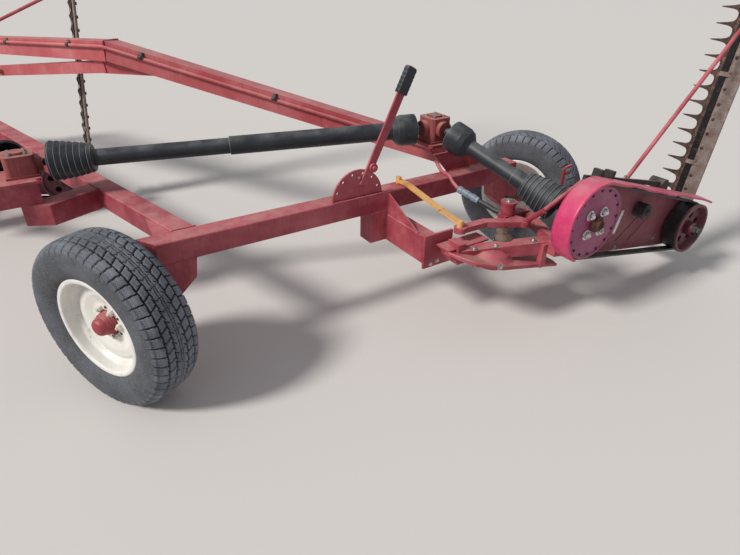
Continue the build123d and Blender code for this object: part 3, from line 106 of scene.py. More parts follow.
def colour_setting(name, what, red, green, blue):
    """A colour for the panel, with its default as it is seen, from 0 to 255."""
    return FloatVectorProperty(
        name=name, description=what, subtype="COLOR", size=3, min=0, max=1, default=srgb(red, green, blue)
    )


def length_setting(name, what, default, low, high):
    """A length for the panel, in metres."""
    return FloatProperty(name=name, description=what, default=default, unit="LENGTH", min=low, max=high)


class MowerPaints(bpy.types.PropertyGroup):
    """Colours of the mower's paints and bare metals."""

    frame_red: colour_setting("Frame red", "Paint of the frame where it kept its colour", 138, 36, 54)
    # The faded red is partly bleached paint and partly painted light, which old_paint lays on upward faces.
    frame_faded_and_lit: colour_setting("Faded and lit red", "Paint of the frame where the sun bleached it", 192, 102, 110)
    shroud_pink: colour_setting("Shroud pink", "Paint of the belts' shrouds", 192, 36, 104)
    shroud_orange: colour_setting("Shroud orange", "Bleached patches of the shrouds", 214, 92, 108)
    ochre: colour_setting("Ochre", "Paint of the flat link", 222, 158, 82)
    plastic_black: colour_setting("Guard black", "Plastic of the shaft guards", 30, 35, 41)
    rim_cream: colour_setting("Rim cream", "Paint of the wheels' rims", 226, 224, 218)
    tyre_grey: colour_setting("Tyre grey", "Dusty rubber of the tyres", 94, 97, 105)
    guard_rust: colour_setting("Guard rust", "Rusty iron of the guards", 92, 70, 66)
    bar_tan: colour_setting("Bar tan", "Bare face of the cutter bars", 148, 138, 134)
    dust: colour_setting("Dust", "Dry dust on upper faces", 196, 176, 160)


class MowerSizes(bpy.types.PropertyGroup):
    """Sizes of the finish that is laid on the frame."""

    tread_depth: length_setting("Tread depth", "Depth of the tyres' grooves", 0.009, 0.002, 0.02)
    tread_pitches: IntProperty(
        name="Tread pitches", description="Tread blocks round a tyre in each row", default=52, min=20, max=90
    )
    weld_radius: length_setting("Weld radius", "Half width of the weld beads", 0.0045, 0.001, 0.01)
    dent_height: length_setting("Dent height", "How far the shrouds' strips are bent", 0.006, 0, 0.02)


# Materials

# The mixed finishes, by the names that the pieces use
FINISH = {}


class Paintbox:
    """Shader nodes of one finish, added one by one with their links."""

    def __init__(self, name, roughness, metallic=0.0):
        self.material = bpy.data.materials.new(name)
        self.material.use_nodes = True
        self.nodes = self.material.node_tree.nodes
        self.links = self.material.node_tree.links
        self.shader = self.nodes["Principled BSDF"]
        self.fill(self.shader, {"Metallic": metallic, "Roughness": roughness})
        self.place = self.nodes.new("ShaderNodeTexCoord").outputs["Object"]

    def fill(self, node, sockets):
        """Gives a node's sockets numbers and colours, or links them to outputs of other nodes."""
        for socket, value in sockets.items():
            if isinstance(value, bpy.types.NodeSocket):
                self.links.new(value, node.inputs[socket])
            else:
                node.inputs[socket].default_value = value
        return node

    def add(self, kind, sockets):
        return self.fill(self.nodes.new(kind), sockets)

    def stretched(self, scale):
        return self.add("ShaderNodeMapping", {"Vector": self.place, "Scale": scale}).outputs["Vector"]

    def noise(self, scale, detail, rough, vector=None):
        sockets = {"Vector": vector or self.place, "Scale": scale, "Detail": detail, "Roughness": rough}
        return self.add("ShaderNodeTexNoise", sockets).outputs["Fac"]

    def between(self, value, low, high, top=1.0, bottom=0.0):
        sockets = {"Value": value, "From Min": low, "From Max": high, "To Min": bottom, "To Max": top}
        node = self.add("ShaderNodeMapRange", sockets)
        node.interpolation_type = "SMOOTHSTEP"
        return node.outputs["Result"]

    def cloud(self, scale, detail, rough, low, high, vector=None):
        """A noise as a share: nought at its low value, all of it at its high one."""
        return self.between(self.noise(scale, detail, rough, vector), low, high)

    def maths(self, operation, first, second=0.0, clamp=True):
        node = self.add("ShaderNodeMath", {0: first, 1: second})
        node.operation = operation
        node.use_clamp = clamp
        return node.outputs["Value"]

    def times(self, first, second):
        return self.maths("MULTIPLY", first, second)

    def plus(self, first, second):
        return self.maths("ADD", first, second)

    def mixed(self, share, first, second):
        node = self.nodes.new("ShaderNodeMix")
        node.data_type = "RGBA"
        first, second = ((*c, 1.0) if isinstance(c, tuple) else c for c in (first, second))
        return self.fill(node, {0: share, 6: first, 7: second}).outputs[2]

    def stain(self, colour, share, strength, tint):
        """Lays a tint over a colour, by a share times a strength."""
        return self.mixed(self.times(share, strength), colour, tint)

    def along(self, vector, axis):
        return self.add("ShaderNodeSeparateXYZ", {"Vector": vector}).outputs[axis]

    def facing_up(self, low, high):
        normal = self.nodes.new("ShaderNodeNewGeometry").outputs["Normal"]
        return self.between(self.along(normal, "Z"), low, high)

    def edges(self, radius, low=0.02, high=0.2):
        """Share of edge wear: the normal of a softly rounded copy against the true one."""
        bevel = self.add("ShaderNodeBevel", {"Radius": radius})
        bevel.samples = 4
        true_normal = self.nodes.new("ShaderNodeNewGeometry").outputs["Normal"]
        dot = self.add("ShaderNodeVectorMath", {0: bevel.outputs["Normal"], 1: true_normal})
        dot.operation = "DOT_PRODUCT"
        return self.between(self.maths("SUBTRACT", 1.0, dot.outputs["Value"]), low, high)

    def attribute(self, name):
        node = self.nodes.new("ShaderNodeAttribute")
        node.attribute_name = name
        return node.outputs["Fac"]

    def bump(self, height, strength, distance):
        node = self.add("ShaderNodeBump", {"Height": height, "Strength": strength, "Distance": distance})
        self.fill(self.shader, {"Normal": node.outputs["Normal"]})

    def finish(self, colour, roughness=None):
        self.fill(self.shader, {"Base Color": colour})
        if roughness:
            self.fill(self.shader, {"Roughness": roughness})
        return self.material


def old_paint(name, kept, faded, dust, rust_share=0.5, dust_share=0.35, roughness=0.55, chips=0.5):
    """Sun-bleached paint: cloudy fading, upward faces lighter, partly from bleaching and partly as painted
    light, streaks, rusty chips on the edges, rust spots, dust on top.
    """
    box = Paintbox(name, roughness)
    clouds = box.times(box.cloud(3.2, 5, 0.6, 0.36, 0.64), 0.45)
    patches = box.times(box.cloud(17, 4, 0.6, 0.42, 0.70), 0.25)
    # Upward faces lean to the lighter colour: partly sun bleaching, partly painted light on the top faces.
    above = box.times(box.facing_up(0.1, 0.9), 0.42)
    colour = box.mixed(box.plus(box.plus(clouds, patches), above), kept, faded)
    streaks = box.cloud(9, 3, 0.5, 0.5, 0.74, box.stretched((14, 14, 1.2)))
    colour = box.stain(colour, streaks, 0.30, shade(kept, 0.45))
    worn = box.times(box.edges(0.006), box.cloud(38, 4, 0.7, 0.44, 0.62))
    spots = box.times(box.cloud(70, 5, 0.75, 0.635, 0.70), box.cloud(6, 2, 0.5, 0.46, 0.62))
    rusty = box.plus(box.times(worn, chips), box.times(spots, rust_share))
    rust = box.mixed(box.noise(90, 3, 0.6), srgb(92, 50, 38), srgb(160, 92, 66))
    colour = box.mixed(rusty, colour, rust)
    powder = box.times(box.facing_up(0.5, 0.98), box.cloud(11, 5, 0.65, 0.34, 0.72))
    colour = box.stain(colour, powder, dust_share, dust)
    grain = box.times(box.noise(160, 3, 0.6), 0.35)
    box.bump(box.plus(grain, box.times(rusty, 0.5)), 0.35, 0.0012)
    return box.finish(colour, box.between(rusty, 0.0, 1.0, 0.92, roughness))


def rusty_iron(name, base, dark, metallic=0.25, bright=None, orange=0.5):
    """Bare iron under rust: two browns in patches, with bright rubbed edges where bright is given."""
    box = Paintbox(name, 0.75, metallic)
    patches = box.cloud(24, 5, 0.7, 0.36, 0.66)
    colour = box.mixed(patches, dark, base)
    colour = box.stain(colour, box.cloud(150, 4, 0.7, 0.5, 0.72), orange, srgb(160, 108, 84))
    if bright:
        rubbed = box.times(box.edges(0.002, 0.05, 0.3), box.cloud(30, 3, 0.5, 0.35, 0.6))
        colour = box.stain(colour, rubbed, 0.7, bright)
    powder = box.times(box.facing_up(0.3, 0.95), box.cloud(13, 4, 0.6, 0.4, 0.7))
    colour = box.stain(colour, powder, 0.25, srgb(190, 168, 148))
    box.bump(box.plus(box.noise(220, 4, 0.7), box.times(patches, 0.4)), 0.45, 0.0012)
    return box.finish(colour)


def moulded_black(name, base, ribs=0.0):
    """Black plastic gone grey: dust above, pale rib edges that are partly rubbed, dusty plastic and partly
    painted highlight, scuffs along it.
    """
    box = Paintbox(name, 0.5)
    colour = box.stain(base, box.cloud(7, 4, 0.6, 0.38, 0.68), 0.55, shade(base, 2.1))
    above = box.times(box.facing_up(0.2, 1.0), box.cloud(9, 4, 0.6, 0.3, 0.7))
    colour = box.stain(colour, above, 0.34, srgb(150, 152, 150))
    if ribs:
        # Pale rib edges: partly rubbed, dusty plastic, partly painted highlight.
        colour = box.stain(colour, box.edges(0.004, 0.03, 0.25), ribs, srgb(186, 188, 184))
    scuffs = box.cloud(60, 4, 0.7, 0.60, 0.74, box.stretched((1, 6, 6)))
    colour = box.stain(colour, scuffs, 0.28, srgb(140, 142, 140))
    box.bump(box.noise(240, 3, 0.6), 0.18, 0.0008)
    return box.finish(colour)


def tyre_rubber(name, base):
    """Dusty rubber: pale dust on the tread's faces, less on the walls, and painted shade, near black, in the
    grooves.
    """
    box = Paintbox(name, 0.82)
    clouds = box.cloud(9, 5, 0.65, 0.34, 0.68)
    wall = box.mixed(clouds, shade(base, 0.50), shade(base, 0.80))
    dusty = box.mixed(clouds, base, shade(base, 1.75))
    colour = box.mixed(box.attribute("tread"), wall, dusty)
    colour = box.stain(colour, box.cloud(170, 4, 0.7, 0.5, 0.75), 0.35, srgb(168, 164, 156))
    # Painted shade: the grooves are made near black.
    colour = box.stain(colour, box.attribute("groove"), 0.98, srgb(12, 13, 16))
    box.bump(box.noise(260, 4, 0.65), 0.3, 0.0008)
    return box.finish(colour)


def cream_rim(name, cream):
    """Cream wheel paint: rusty runs from the drop centre and holes, brown in the corners."""
    box = Paintbox(name, 0.42)
    colour = box.mixed(box.cloud(8, 4, 0.6, 0.35, 0.7), cream, shade(cream, 0.86))
    runs = box.cloud(14, 4, 0.65, 0.58, 0.74, box.stretched((2, 2, 0.8)))
    colour = box.stain(colour, runs, 0.5, srgb(176, 132, 98))
    spots = box.cloud(46, 5, 0.75, 0.63, 0.70)
    colour = box.stain(colour, spots, 0.75, srgb(120, 74, 52))
    worn = box.times(box.edges(0.005), box.cloud(18, 4, 0.7, 0.50, 0.64))
    colour = box.stain(colour, worn, 0.5, srgb(132, 92, 70))
    box.bump(box.plus(spots, box.noise(150, 3, 0.6)), 0.25, 0.001)
    return box.finish(colour)


def plated_steel(name, base):
    """Dull zinc on bolts, with a little rust between the faces."""
    box = Paintbox(name, 0.38, 0.75)
    colour = box.mixed(box.cloud(60, 4, 0.7, 0.48, 0.72), base, srgb(128, 92, 70))
    box.bump(box.noise(300, 3, 0.6), 0.15, 0.0005)
    return box.finish(colour)


def greasy_black(name):
    """Black grease and dirt with dust caught in it."""
    box = Paintbox(name, 0.48, 0.2)
    colour = box.mixed(box.cloud(40, 5, 0.7, 0.45, 0.75), srgb(26, 24, 24), srgb(88, 72, 62))
    box.bump(box.noise(120, 4, 0.7), 0.5, 0.0015)
    return box.finish(colour)


def knife_steel(name, back):
    """Knife: greasy black back strip, rusty sections with paler cutting edges. The back strip is where
    the place along Y is within 19 mm of the given one, which is in metres."""
    box = Paintbox(name, 0.5, 0.4)
    off = box.maths("SUBTRACT", box.along(box.place, "Y"), back, False)
    strip = box.between(box.maths("ABSOLUTE", off, clamp=False), 0.021, 0.017)
    colour = box.mixed(box.cloud(34, 5, 0.7, 0.40, 0.66), srgb(74, 56, 48), srgb(132, 104, 92))
    colour = box.mixed(box.edges(0.003, 0.05, 0.3), colour, srgb(158, 134, 120))
    grease = box.mixed(box.cloud(30, 5, 0.7, 0.5, 0.8), srgb(20, 18, 18), srgb(74, 60, 52))
    colour = box.mixed(strip, colour, grease)
    box.bump(box.noise(180, 4, 0.7), 0.35, 0.0008)
    return box.finish(colour)


# Meshes from arrays: a form is a pair of points, in metres, and faces


def mesh_piece(name, form, look, body, smooth=True):
    """One object from a form, with the finish of that name, riding on a body."""
    points, faces = form
    mesh = bpy.data.meshes.new(name)
    mesh.from_pydata(points.tolist(), [], faces.tolist())
    mesh.validate()
    mesh.polygons.foreach_set("use_smooth", np.full(len(mesh.polygons), smooth))
    mesh.materials.append(FINISH[look])
    mesh.update()
    piece = bpy.data.objects.new(name, mesh)
    bpy.context.scene.collection.objects.link(piece)
    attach(piece, body)
    return piece


def triangle_corners(mesh):
    """The corners of every triangle of a mesh, as three arrays of places."""
    mesh.calc_loop_triangles()
    corners = np.empty(len(mesh.loop_triangles) * 3, dtype=np.int32)
    mesh.loop_triangles.foreach_get("vertices", corners)
    places = np.empty(len(mesh.vertices) * 3)
    mesh.vertices.foreach_get("co", places)
    return places.reshape(-1, 3)[corners.reshape(-1, 3)].transpose(1, 0, 2)


def closed_piece(name, form, look, body, smooth=True):
    """A piece whose faces are turned outwards where they came out inwards: its signed volume, the sum
    of a . (b x c) over its triangles, is then below nought."""
    piece = mesh_piece(name, form, look, body, smooth)
    a, b, c = triangle_corners(piece.data)
    if (a * np.cross(b, c)).sum() < 0:
        piece.data.flip_normals()
    return piece


def facing(piece, way):
    """Turns the faces of an open sheet towards the side that it is seen from."""
    a, b, c = triangle_corners(piece.data)
    if (np.cross(b - a, c - a) @ way).sum() < 0:
        piece.data.flip_normals()


def sheet_piece(name, form, look, body, thickness):
    """A piece from a sheet, which gets half of its thickness on each side."""
    piece = mesh_piece(name, form, look, body)
    wall = piece.modifiers.new("wall", "SOLIDIFY")
    wall.thickness = thickness
    wall.offset = 0
    return piece


def turned_piece(name, places, way, profile, sides, look, body, smooth=False):
    """Copies of a turned form at places in millimetres, as one closed piece."""
    return closed_piece(name, turned_array(metres(places), way, profile, sides), look, body, smooth)


def grid_faces(rows, columns, wrap_rows=False, wrap_columns=False):
    """Quads of a rows by columns grid of points: each joins (i, j), (i+1, j), (i+1, j+1), (i, j+1)."""
    last_row = rows if wrap_rows else rows - 1
    last_column = columns if wrap_columns else columns - 1
    i, j = np.meshgrid(np.arange(last_row), np.arange(last_column), indexing="ij")
    next_i, next_j = (i + 1) % rows, (j + 1) % columns
    quads = [i * columns + j, next_i * columns + j, next_i * columns + next_j, i * columns + next_j]
    return np.stack(quads, axis=-1).reshape(-1, 4)


def lengths_along(line):
    """How far each corner of a polyline lies from its start, along the line."""
    return np.concatenate([[0], np.cumsum(np.linalg.norm(np.diff(line, axis=0), axis=1))])


def line_at(line, places):
    """Points on a polyline at distances from its start."""
    along = lengths_along(line)
    return np.stack([np.interp(places, along, axis) for axis in line.T], axis=1)


def unit_rings(side, up, sides, phase=0.0):
    """For each pair of side and up, the circle cos t * side + sin t * up at even turns t."""
    turn = np.linspace(0, 2 * np.pi, sides, endpoint=False)[:, None] + phase
    return np.cos(turn) * side[:, None, :] + np.sin(turn) * up[:, None, :]


def circle(centre, radius, count, side=RIGHT, up=UP, start=0):
    """Even places on a circle: centre + radius * (cos t * side + sin t * up), from t = start degrees."""
    turn = np.radians(start + 360 / count * np.arange(count))[:, None]
    return centre + radius * (np.cos(turn) * side + np.sin(turn) * up)


def tube_grid(path, radius, sides=8, closed=False):
    """A tube on a path: point + radius * (cos t * side + sin t * up). Side is square to the path and to
    the direction in which the path's own directions spread least, and up is square to both."""
    ahead = np.roll(path, -1, axis=0) - path
    behind = path - np.roll(path, 1, axis=0)
    if not closed:
        ahead[-1] = behind[-1]
        behind[0] = ahead[0]
    way = unit(unit(ahead) + unit(behind))
    guide = np.linalg.svd(way, full_matrices=False)[2][-1] if len(way) > 2 else np.array([0.31, 0.27, 0.91])
    side = unit(np.cross(way, guide))
    reach = np.broadcast_to(radius, (len(path),))[:, None, None]
    points = path[:, None, :] + reach * unit_rings(side, np.cross(side, way), sides)
    return points.reshape(-1, 3), grid_faces(len(path), sides, closed, True)


def joined(forms):
    """Several forms as one, with the faces counted on."""
    counts = np.cumsum([0] + [len(points) for points, _ in forms])
    faces = [part + count for (_, part), count in zip(forms, counts)]
    return np.concatenate([points for points, _ in forms]), np.concatenate(faces)


def frames(normals):
    """For each normal, two unit vectors square to it and to each other."""
    normals = unit(normals)
    guide = np.where(np.abs(normals[:, 2:3]) < 0.9, UP, RIGHT)
    side = unit(np.cross(guide, normals))
    return side, np.cross(normals, side), normals


def turned_array(places, normals, profile, sides, phase=0.0):
    """Copies of a turned form: place + distance * normal + radius * (cos t * side + sin t * up).
    The profile is pairs of distance and radius in metres; a radius of nought closes an end."""
    side, up, normal = frames(np.broadcast_to(np.asarray(normals, dtype=float), places.shape))
    profile = np.asarray(profile, dtype=float)[:, None, :]
    ring = unit_rings(side, up, sides, phase)[:, None]
    grid = places[:, None, None, :] + profile[..., 0:1] * normal[:, None, None, :] + profile[..., 1:2] * ring
    faces = grid_faces(len(profile), sides, False, True)
    copies = np.arange(len(places))[:, None, None] * (len(profile) * sides)
    return grid.reshape(-1, 3), (faces[None, :, :] + copies).reshape(-1, 4)


def eased(corners, step, passes):
    """A polyline cut into even steps and then rounded at its corners by averaging neighbours."""
    corners = np.array(corners, dtype=float)
    length = lengths_along(corners)[-1]
    line = line_at(corners, np.linspace(0, length, int(length / step) + 2))
    for _ in range(passes):
        line[1:-1] = (line[:-2] + 2 * line[1:-1] + line[2:]) / 4
    return line


# Tyres

# The wall from the bead out to the shoulder: across and radius
TYRE_WALL = (
    (-79.4, 190.6), (-80.0, 200.0), (-82.0, 209.0), (-88.0, 212.5), (-94.0, 219.0), (-100.5, 232.0),
    (-104.8, 250.0), (-106.5, 270.0), (-106.4, 287.0), (-103.8, 303.0), (-100.3, 317.0), (-97.0, 327.0),
)
TYRE_RADIUS = 348.6
CROWN_HALF = 96.5
TYRE_TURNS, WALL_COLUMNS, CROWN_COLUMNS = 780, 15, 98
# Radius where the whole tread starts to show, where the shoulders' shallow cuts start, and the run of each
TREAD_START, TREAD_RUN = 312, 16
SHOULDER_START, SHOULDER_RUN = 306, 10
WALL_RINGS, RING_WIDTH, RING_HEIGHT = (296, 228), 1.5, 0.45
# Grooves round the tyre: place across, sway in each pitch and half width
TREAD_LINES = (
    (-59, 0.8, 3.3), (-27, 2.6, 3.0), (-5, 1.4, 1.2), (5, 1.4, 1.2), (27, 2.6, 3.0), (59, 0.8, 3.3),
)
# Cuts across the tread: from, to, slant in pitches, shift in pitches, half width, share of the depth
TREAD_CUTS = (
    (-16, 16, 0.10, 0.15, 1.3, 0.6),
    (-28, -12, -0.30, 0.10, 2.3, 0.95),
    (12, 28, -0.30, 0.40, 2.3, 0.95),
    (-60, -26, 0.42, 0.50, 2.8, 1.0),
    (26, 60, 0.42, 0.50, 2.8, 1.0),
    (-106, -58, -0.16, 0.05, 2.6, 1.0),
    (58, 106, -0.16, 0.05, 2.6, 1.0),
)


def cut(distance, half_width, slope=1.3):
    """Share of a groove's depth at a distance from its middle: whole inside, with a short slope."""
    return np.clip((half_width - np.abs(distance)) / slope + 0.5, 0, 1)


def saw(run):
    """How far a number lies from the nearest whole one."""
    return run - np.floor(run + 0.5)


def tread_grooves(phase, across, pitch):
    """Share of the tread's depth at a phase in pitches and a place across: the deepest of the swaying
    lines round the tyre, the slanted cuts between them, fine cuts and the shoulders' small chevrons."""
    deep = np.zeros((len(phase), len(across)))
    for line, sway, width in TREAD_LINES:
        deep = np.maximum(deep, cut(across - line - sway * 2 * saw(phase + line / 60), width))
    for low, high, slant, shift, width, share in TREAD_CUTS:
        run = phase + shift + slant * (across - low) / (high - low)
        inside = np.clip((across - low) / 2.0, 0, 1) * np.clip((high - across) / 2.0, 0, 1)
        deep = np.maximum(deep, cut(saw(run) * pitch, width) * inside * share)
    off = np.abs(across)
    fine = cut(saw(phase * 5 + 0.3 * off / 20) * pitch / 5, 0.6, 1.2) * (off < 80) * 0.22
    chevrons = cut(saw(phase * 5 + 0.9 * np.abs((off - 90) / 7)) * pitch / 5, 0.9, 1.2)
    return np.maximum(deep, np.maximum(fine, chevrons * (off > 83) * (off < 99) * 0.45))


def tyre_surface(centre, axle, depth, pitches):
    """A tyre as radius(angle, place across): a smooth carcass less the tread's grooves, with two low
    rings on each wall. Point = centre + across * axle + radius * (cos angle * ahead + sin angle * up)."""
    wall = np.array(TYRE_WALL)
    share = np.linspace(0, 1, len(wall))
    fine = np.linspace(0, 1, WALL_COLUMNS)
    wall = np.stack([np.interp(fine, share, axis) for axis in wall.T], axis=1)
    wall[1:-1] = (wall[:-2] + 2 * wall[1:-1] + wall[2:]) / 4
    crown = np.linspace(-1, 1, CROWN_COLUMNS)
    crown_radius = TYRE_RADIUS - 20.0 * np.abs(crown) ** 5.5 - 2.6 * crown**2
    across = np.concatenate([wall[:, 0], crown * CROWN_HALF, -wall[::-1, 0]])
    base = np.concatenate([wall[:, 1], crown_radius, wall[::-1, 1]])
    angle = np.linspace(0, 2 * np.pi, TYRE_TURNS, endpoint=False)[:, None]
    tread = np.clip((base - TREAD_START) / TREAD_RUN, 0, 1)
    lugs = tread + (1 - tread) * np.clip((base - SHOULDER_START) / SHOULDER_RUN, 0, 1) * 0.5
    groove = tread_grooves(angle * pitches / (2 * np.pi), across, 2 * np.pi * 348 / pitches) * lugs
    rings = sum(RING_HEIGHT * np.exp(-(((base - ring) / RING_WIDTH) ** 2)) for ring in WALL_RINGS)
    rings = rings * (np.abs(across) > 85) * (base < SHOULDER_START - 1)
    radius = base - groove * depth * 1000
    along = across * (1 - 0.012 * groove * (np.abs(across) > 88)) + np.sign(across) * rings
    ring = np.cos(angle)[..., None] * np.cross(UP, axle) + np.sin(angle)[..., None] * UP
    points = centre + along[:, :, None] * axle + radius[:, :, None] * ring
    form = metres(points.reshape(-1, 3)), grid_faces(TYRE_TURNS, len(across), True, True)
    return form, groove.reshape(-1), np.broadcast_to(tread, radius.shape).reshape(-1)


def build_tyres(sizes):
    """Both tyres. Each point keeps how deep in a groove and how far on the tread it lies."""
    for wheel, (centre, axle) in WHEELS.items():
        form, groove, tread = tyre_surface(centre, axle, sizes.tread_depth, sizes.tread_pitches)
        piece = closed_piece(f"{wheel}_tyre_tread", form, "tyre", f"{wheel}_wheel")
        for layer_name, values in (("groove", groove), ("tread", tread)):
            layer = piece.data.attributes.new(layer_name, "FLOAT", "POINT")
            layer.data.foreach_set("value", values.astype(np.float32))
        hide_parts(f"{wheel}_tyre")


# Rims and hubs

# Rim from the inner lip round to the outer one and over the disc: along the axle and radius
RIM_PROFILE = (
    (-83, 206), (-86, 203), (-85, 190), (-80, 185), (-50, 182), (-40, 163), (6, 163), (16, 160), (27, 146),
    (29, 122), (21, 98), (17, 86), (17, 50), (24, 50), (24, 86), (28, 98), (36, 122), (34, 148), (24, 164),
    (36, 172), (45, 182), (80, 185), (85, 190), (86, 203), (83, 206),
)
# Hub with its ribbed dust cap, from the disc outwards: along the axle and radius
HUB_PROFILE = (
    (-64, 20), (-64, 43), (-3, 47), (0, 74), (13, 74), (15, 49), (30, 48), (36, 44), (40, 46), (44, 42),
    (48, 44), (51, 40), (54, 41), (57, 37), (64, 36), (72, 34), (80, 28), (85, 16), (86, 0),
)
# Small turned forms here and below: distance and radius in metres
LUG_NUT = ((0, 0), (0, 0.0135), (0.011, 0.0135), (0.015, 0.011), (0.015, 0.007), (0.021, 0.0065), (0.022, 0))
# A thin dark disc of painted shade, where a stud hole is.
HOLE_SHADE_DISC = ((0, 0), (0, 0.006), (0.0016, 0.0055), (0.0016, 0))


def build_wheels(sizes):
    """Rims and hubs with caps as profiles turned about the axle, six lug nuts, and between them thin dark
    discs of painted shade where the stud holes are, as turned forms on circles."""
    for wheel, (centre, axle) in WHEELS.items():
        body = f"{wheel}_wheel"
        form = turned_array(metres([centre]), axle, eased(RIM_PROFILE, 2.5, 3) / 1000, 144)
        rim = mesh_piece(f"{wheel}_rim_sheet", form, "rim", body)
        facing(rim, axle)
        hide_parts(f"{wheel}_rim")
        form = turned_array(metres([centre]), axle, eased(HUB_PROFILE, 1.6, 1) / 1000, 72)
        hub = closed_piece(f"{wheel}_hub_cap", form, "hub", body)
        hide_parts(f"{wheel}_hub")
        side, up, _ = frames(axle[None, :])
        nuts = circle(centre + axle * 23, 60, 6, side, up)
        turned_piece(f"{wheel}_lug_nuts", nuts, axle, LUG_NUT, 6, "nuts", body)
        # Painted shade: dark discs stand where the stud holes are.
        holes = circle(centre + axle * 25.5, 66, 6, side, up, 30)
        turned_piece(f"{wheel}_hole_shade_discs", holes, axle, HOLE_SHADE_DISC, 14, "dark", body)


# Shrouds

SHROUD_REACH = 189.0
SHROUD_STRIP = 985
SHROUD_WALL = 0.0028
# Over how much of the strip's length, and of its width, the dents come in
DENT_RUN, DENT_WIDTH = 160, 90
# The lip at the strip's rear edge: place across and how far it turns in
SHROUD_LIP = ((-769.0, -1.2), (-770.0, -3.4), (-770.2, -7.0), (-769.6, -10.5))


def build_shrouds(sizes):
    """Each shroud as a bent sheet: a line round the drum and over the belt, carried across from the
    plate to the rear edge, where a lip turns in; the strip's rear edge waves up and down.
    Point = line(run) + (lip + lift) * outward, at a place across."""
    drum = np.array([DRUM_X, DRUM_Z])
    arc = np.radians(np.linspace(235, 73.5, 74))
    round_way = np.stack([np.cos(arc), np.sin(arc)], axis=1)
    round_part = drum + SHROUD_REACH * round_way
    strip_way = np.array([math.sin(arc[-1]), -math.cos(arc[-1])])
    run = np.linspace(0, SHROUD_STRIP, 110)[1:, None]
    line = np.vstack([round_part, round_part[-1] + run * strip_way])
    outward = np.vstack([round_way, np.tile([-strip_way[1], strip_way[0]], (len(run), 1))])
    along = lengths_along(line)[:, None]
    across = np.concatenate([np.linspace(-680.2, -766.5, 12), [place for place, _ in SHROUD_LIP]])
    turn_in = np.concatenate([np.zeros(12), [turned for _, turned in SHROUD_LIP]])
    on_strip = np.clip((along - along[len(round_part)]) / DENT_RUN, 0, 1)
    rearward = np.clip((-680 - across) / DENT_WIDTH, 0, 1)
    wave = np.sin(along / 88.0) + 0.6 * np.sin(along / 37.0 + 1.1)
    lift = on_strip * rearward**1.5 * (sizes.dent_height * 1000 * 0.62 * wave - 1.5)
    place_across = across + on_strip * (rearward > 0.9) * 2.6 * np.sin(along / 61.0)
    out = turn_in * (1 - 0.25 * on_strip) + lift
    plan = line[:, None, :] + out[:, :, None] * outward[:, None, :]
    points = np.stack([plan[..., 0], place_across, plan[..., 1]], axis=-1).reshape(-1, 3)
    faces = grid_faces(len(line), len(across))
    for head, move in HEADS.items():
        form = metres(points + move), faces
        piece = sheet_piece(f"{head}_shroud_sheet", form, "shroud", "frame", SHROUD_WALL)
        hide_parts(f"{head}_shroud")


# Trim of the drums and the driven pulleys

DRUM_WASHER = ((0, 0), (0, 0.0235), (0.0025, 0.0235), (0.0035, 0.019), (0.0035, 0))
DRUM_NUT = ((0.002, 0.0165), (0.0145, 0.0165), (0.0165, 0.0142), (0.0165, 0.009), (0.022, 0.0088), (0.023, 0))
DRUM_BOLT = (
    (0.010, 0.037), (0.017, 0.0372), (0.019, 0.034), (0.019, 0.0225), (0.026, 0.022), (0.034, 0.0215),
    (0.036, 0.018), (0.030, 0.011), (0.030, 0),
)
# A small black dome of painted shade, where a hole in the drum's face is.
DRUM_HOLE_SHADE = ((0, 0), (0, 0.0062), (0.004, 0.0058), (0.005, 0.004), (0.005, 0))
DRUM_RING = ((-0.001, 0.1695), (0.0035, 0.1685), (0.0045, 0.164), (0.004, 0.1585), (-0.001, 0.1565))
SHEAVE_BAND = ((0.0005, 0.1272), (0.0615, 0.1272), (0.0658, 0.1332), (0.078, 0.1332))
CRANK_NUT = (
    (0, 0), (0, 0.031), (0.018, 0.031), (0.021, 0.027), (0.021, 0.0236), (0.0315, 0.0234), (0.033, 0),
)


def build_drum_trim(sizes):
    """Turned forms that point to the rear. On each drum: four bright nuts with washers and sixteen small
    black domes of painted shade, where the drum's holes are, on circles, the shaft's bolt and a ring. On each
    driven pulley: a dark band and a nut."""
    for head, move in HEADS.items():
        drum, crank = f"{head}_drum", f"{head}_crank"
        middle = np.array([DRUM_X, -752.5, DRUM_Z]) + move
        places = metres(circle(middle, 64, 4, start=45))
        form = joined([turned_array(places, REAR, DRUM_WASHER, 24), turned_array(places, REAR, DRUM_NUT, 6)])
        closed_piece(f"{head}_drum_nuts", form, "bright", drum, False)
        turned_piece(f"{head}_drum_bolt", [middle], REAR, DRUM_BOLT, 32, "iron", drum, True)
        # Painted shade: sixteen black domes stand where the drum's face has holes.
        places = circle(middle, 150, 16)
        turned_piece(f"{head}_drum_hole_shades", places, REAR, DRUM_HOLE_SHADE, 8, "grease", drum)
        turned_piece(f"{head}_drum_ring", [middle], REAR, DRUM_RING, 96, "pulley", drum, True)
        face = np.array([CRANK_X, -700.0, CRANK_Z]) + move
        turned_piece(f"{head}_sheave_band", [face], REAR, SHEAVE_BAND, 96, "belt", crank, True)
        end = np.array([CRANK_X, -796.5, CRANK_Z]) + move
        turned_piece(f"{head}_crank_nut", [end], REAR, CRANK_NUT, 6, "grease", crank)


# Pale rings on the shaft guards' cones, partly dust and partly painted highlight, and the lever's grip

# Each cone's wide end, the far end of its shaft and the axis that its shaft would have unbent
CONES = (
    ((-213, 720, 742), (1458, 150, 800), RIGHT),
    ((1734, -590, 563), (1545, 63, 800), AHEAD),
    ((-300, 815, 742), (-931, 1906.6, 468), AHEAD),
)
CONE_LENGTH, CONE_RIBS, RIB_STEP = 175, 7, 25
CREST_START, CREST_GROWTH = 49.6, 39
PALE_RING = 0.0013


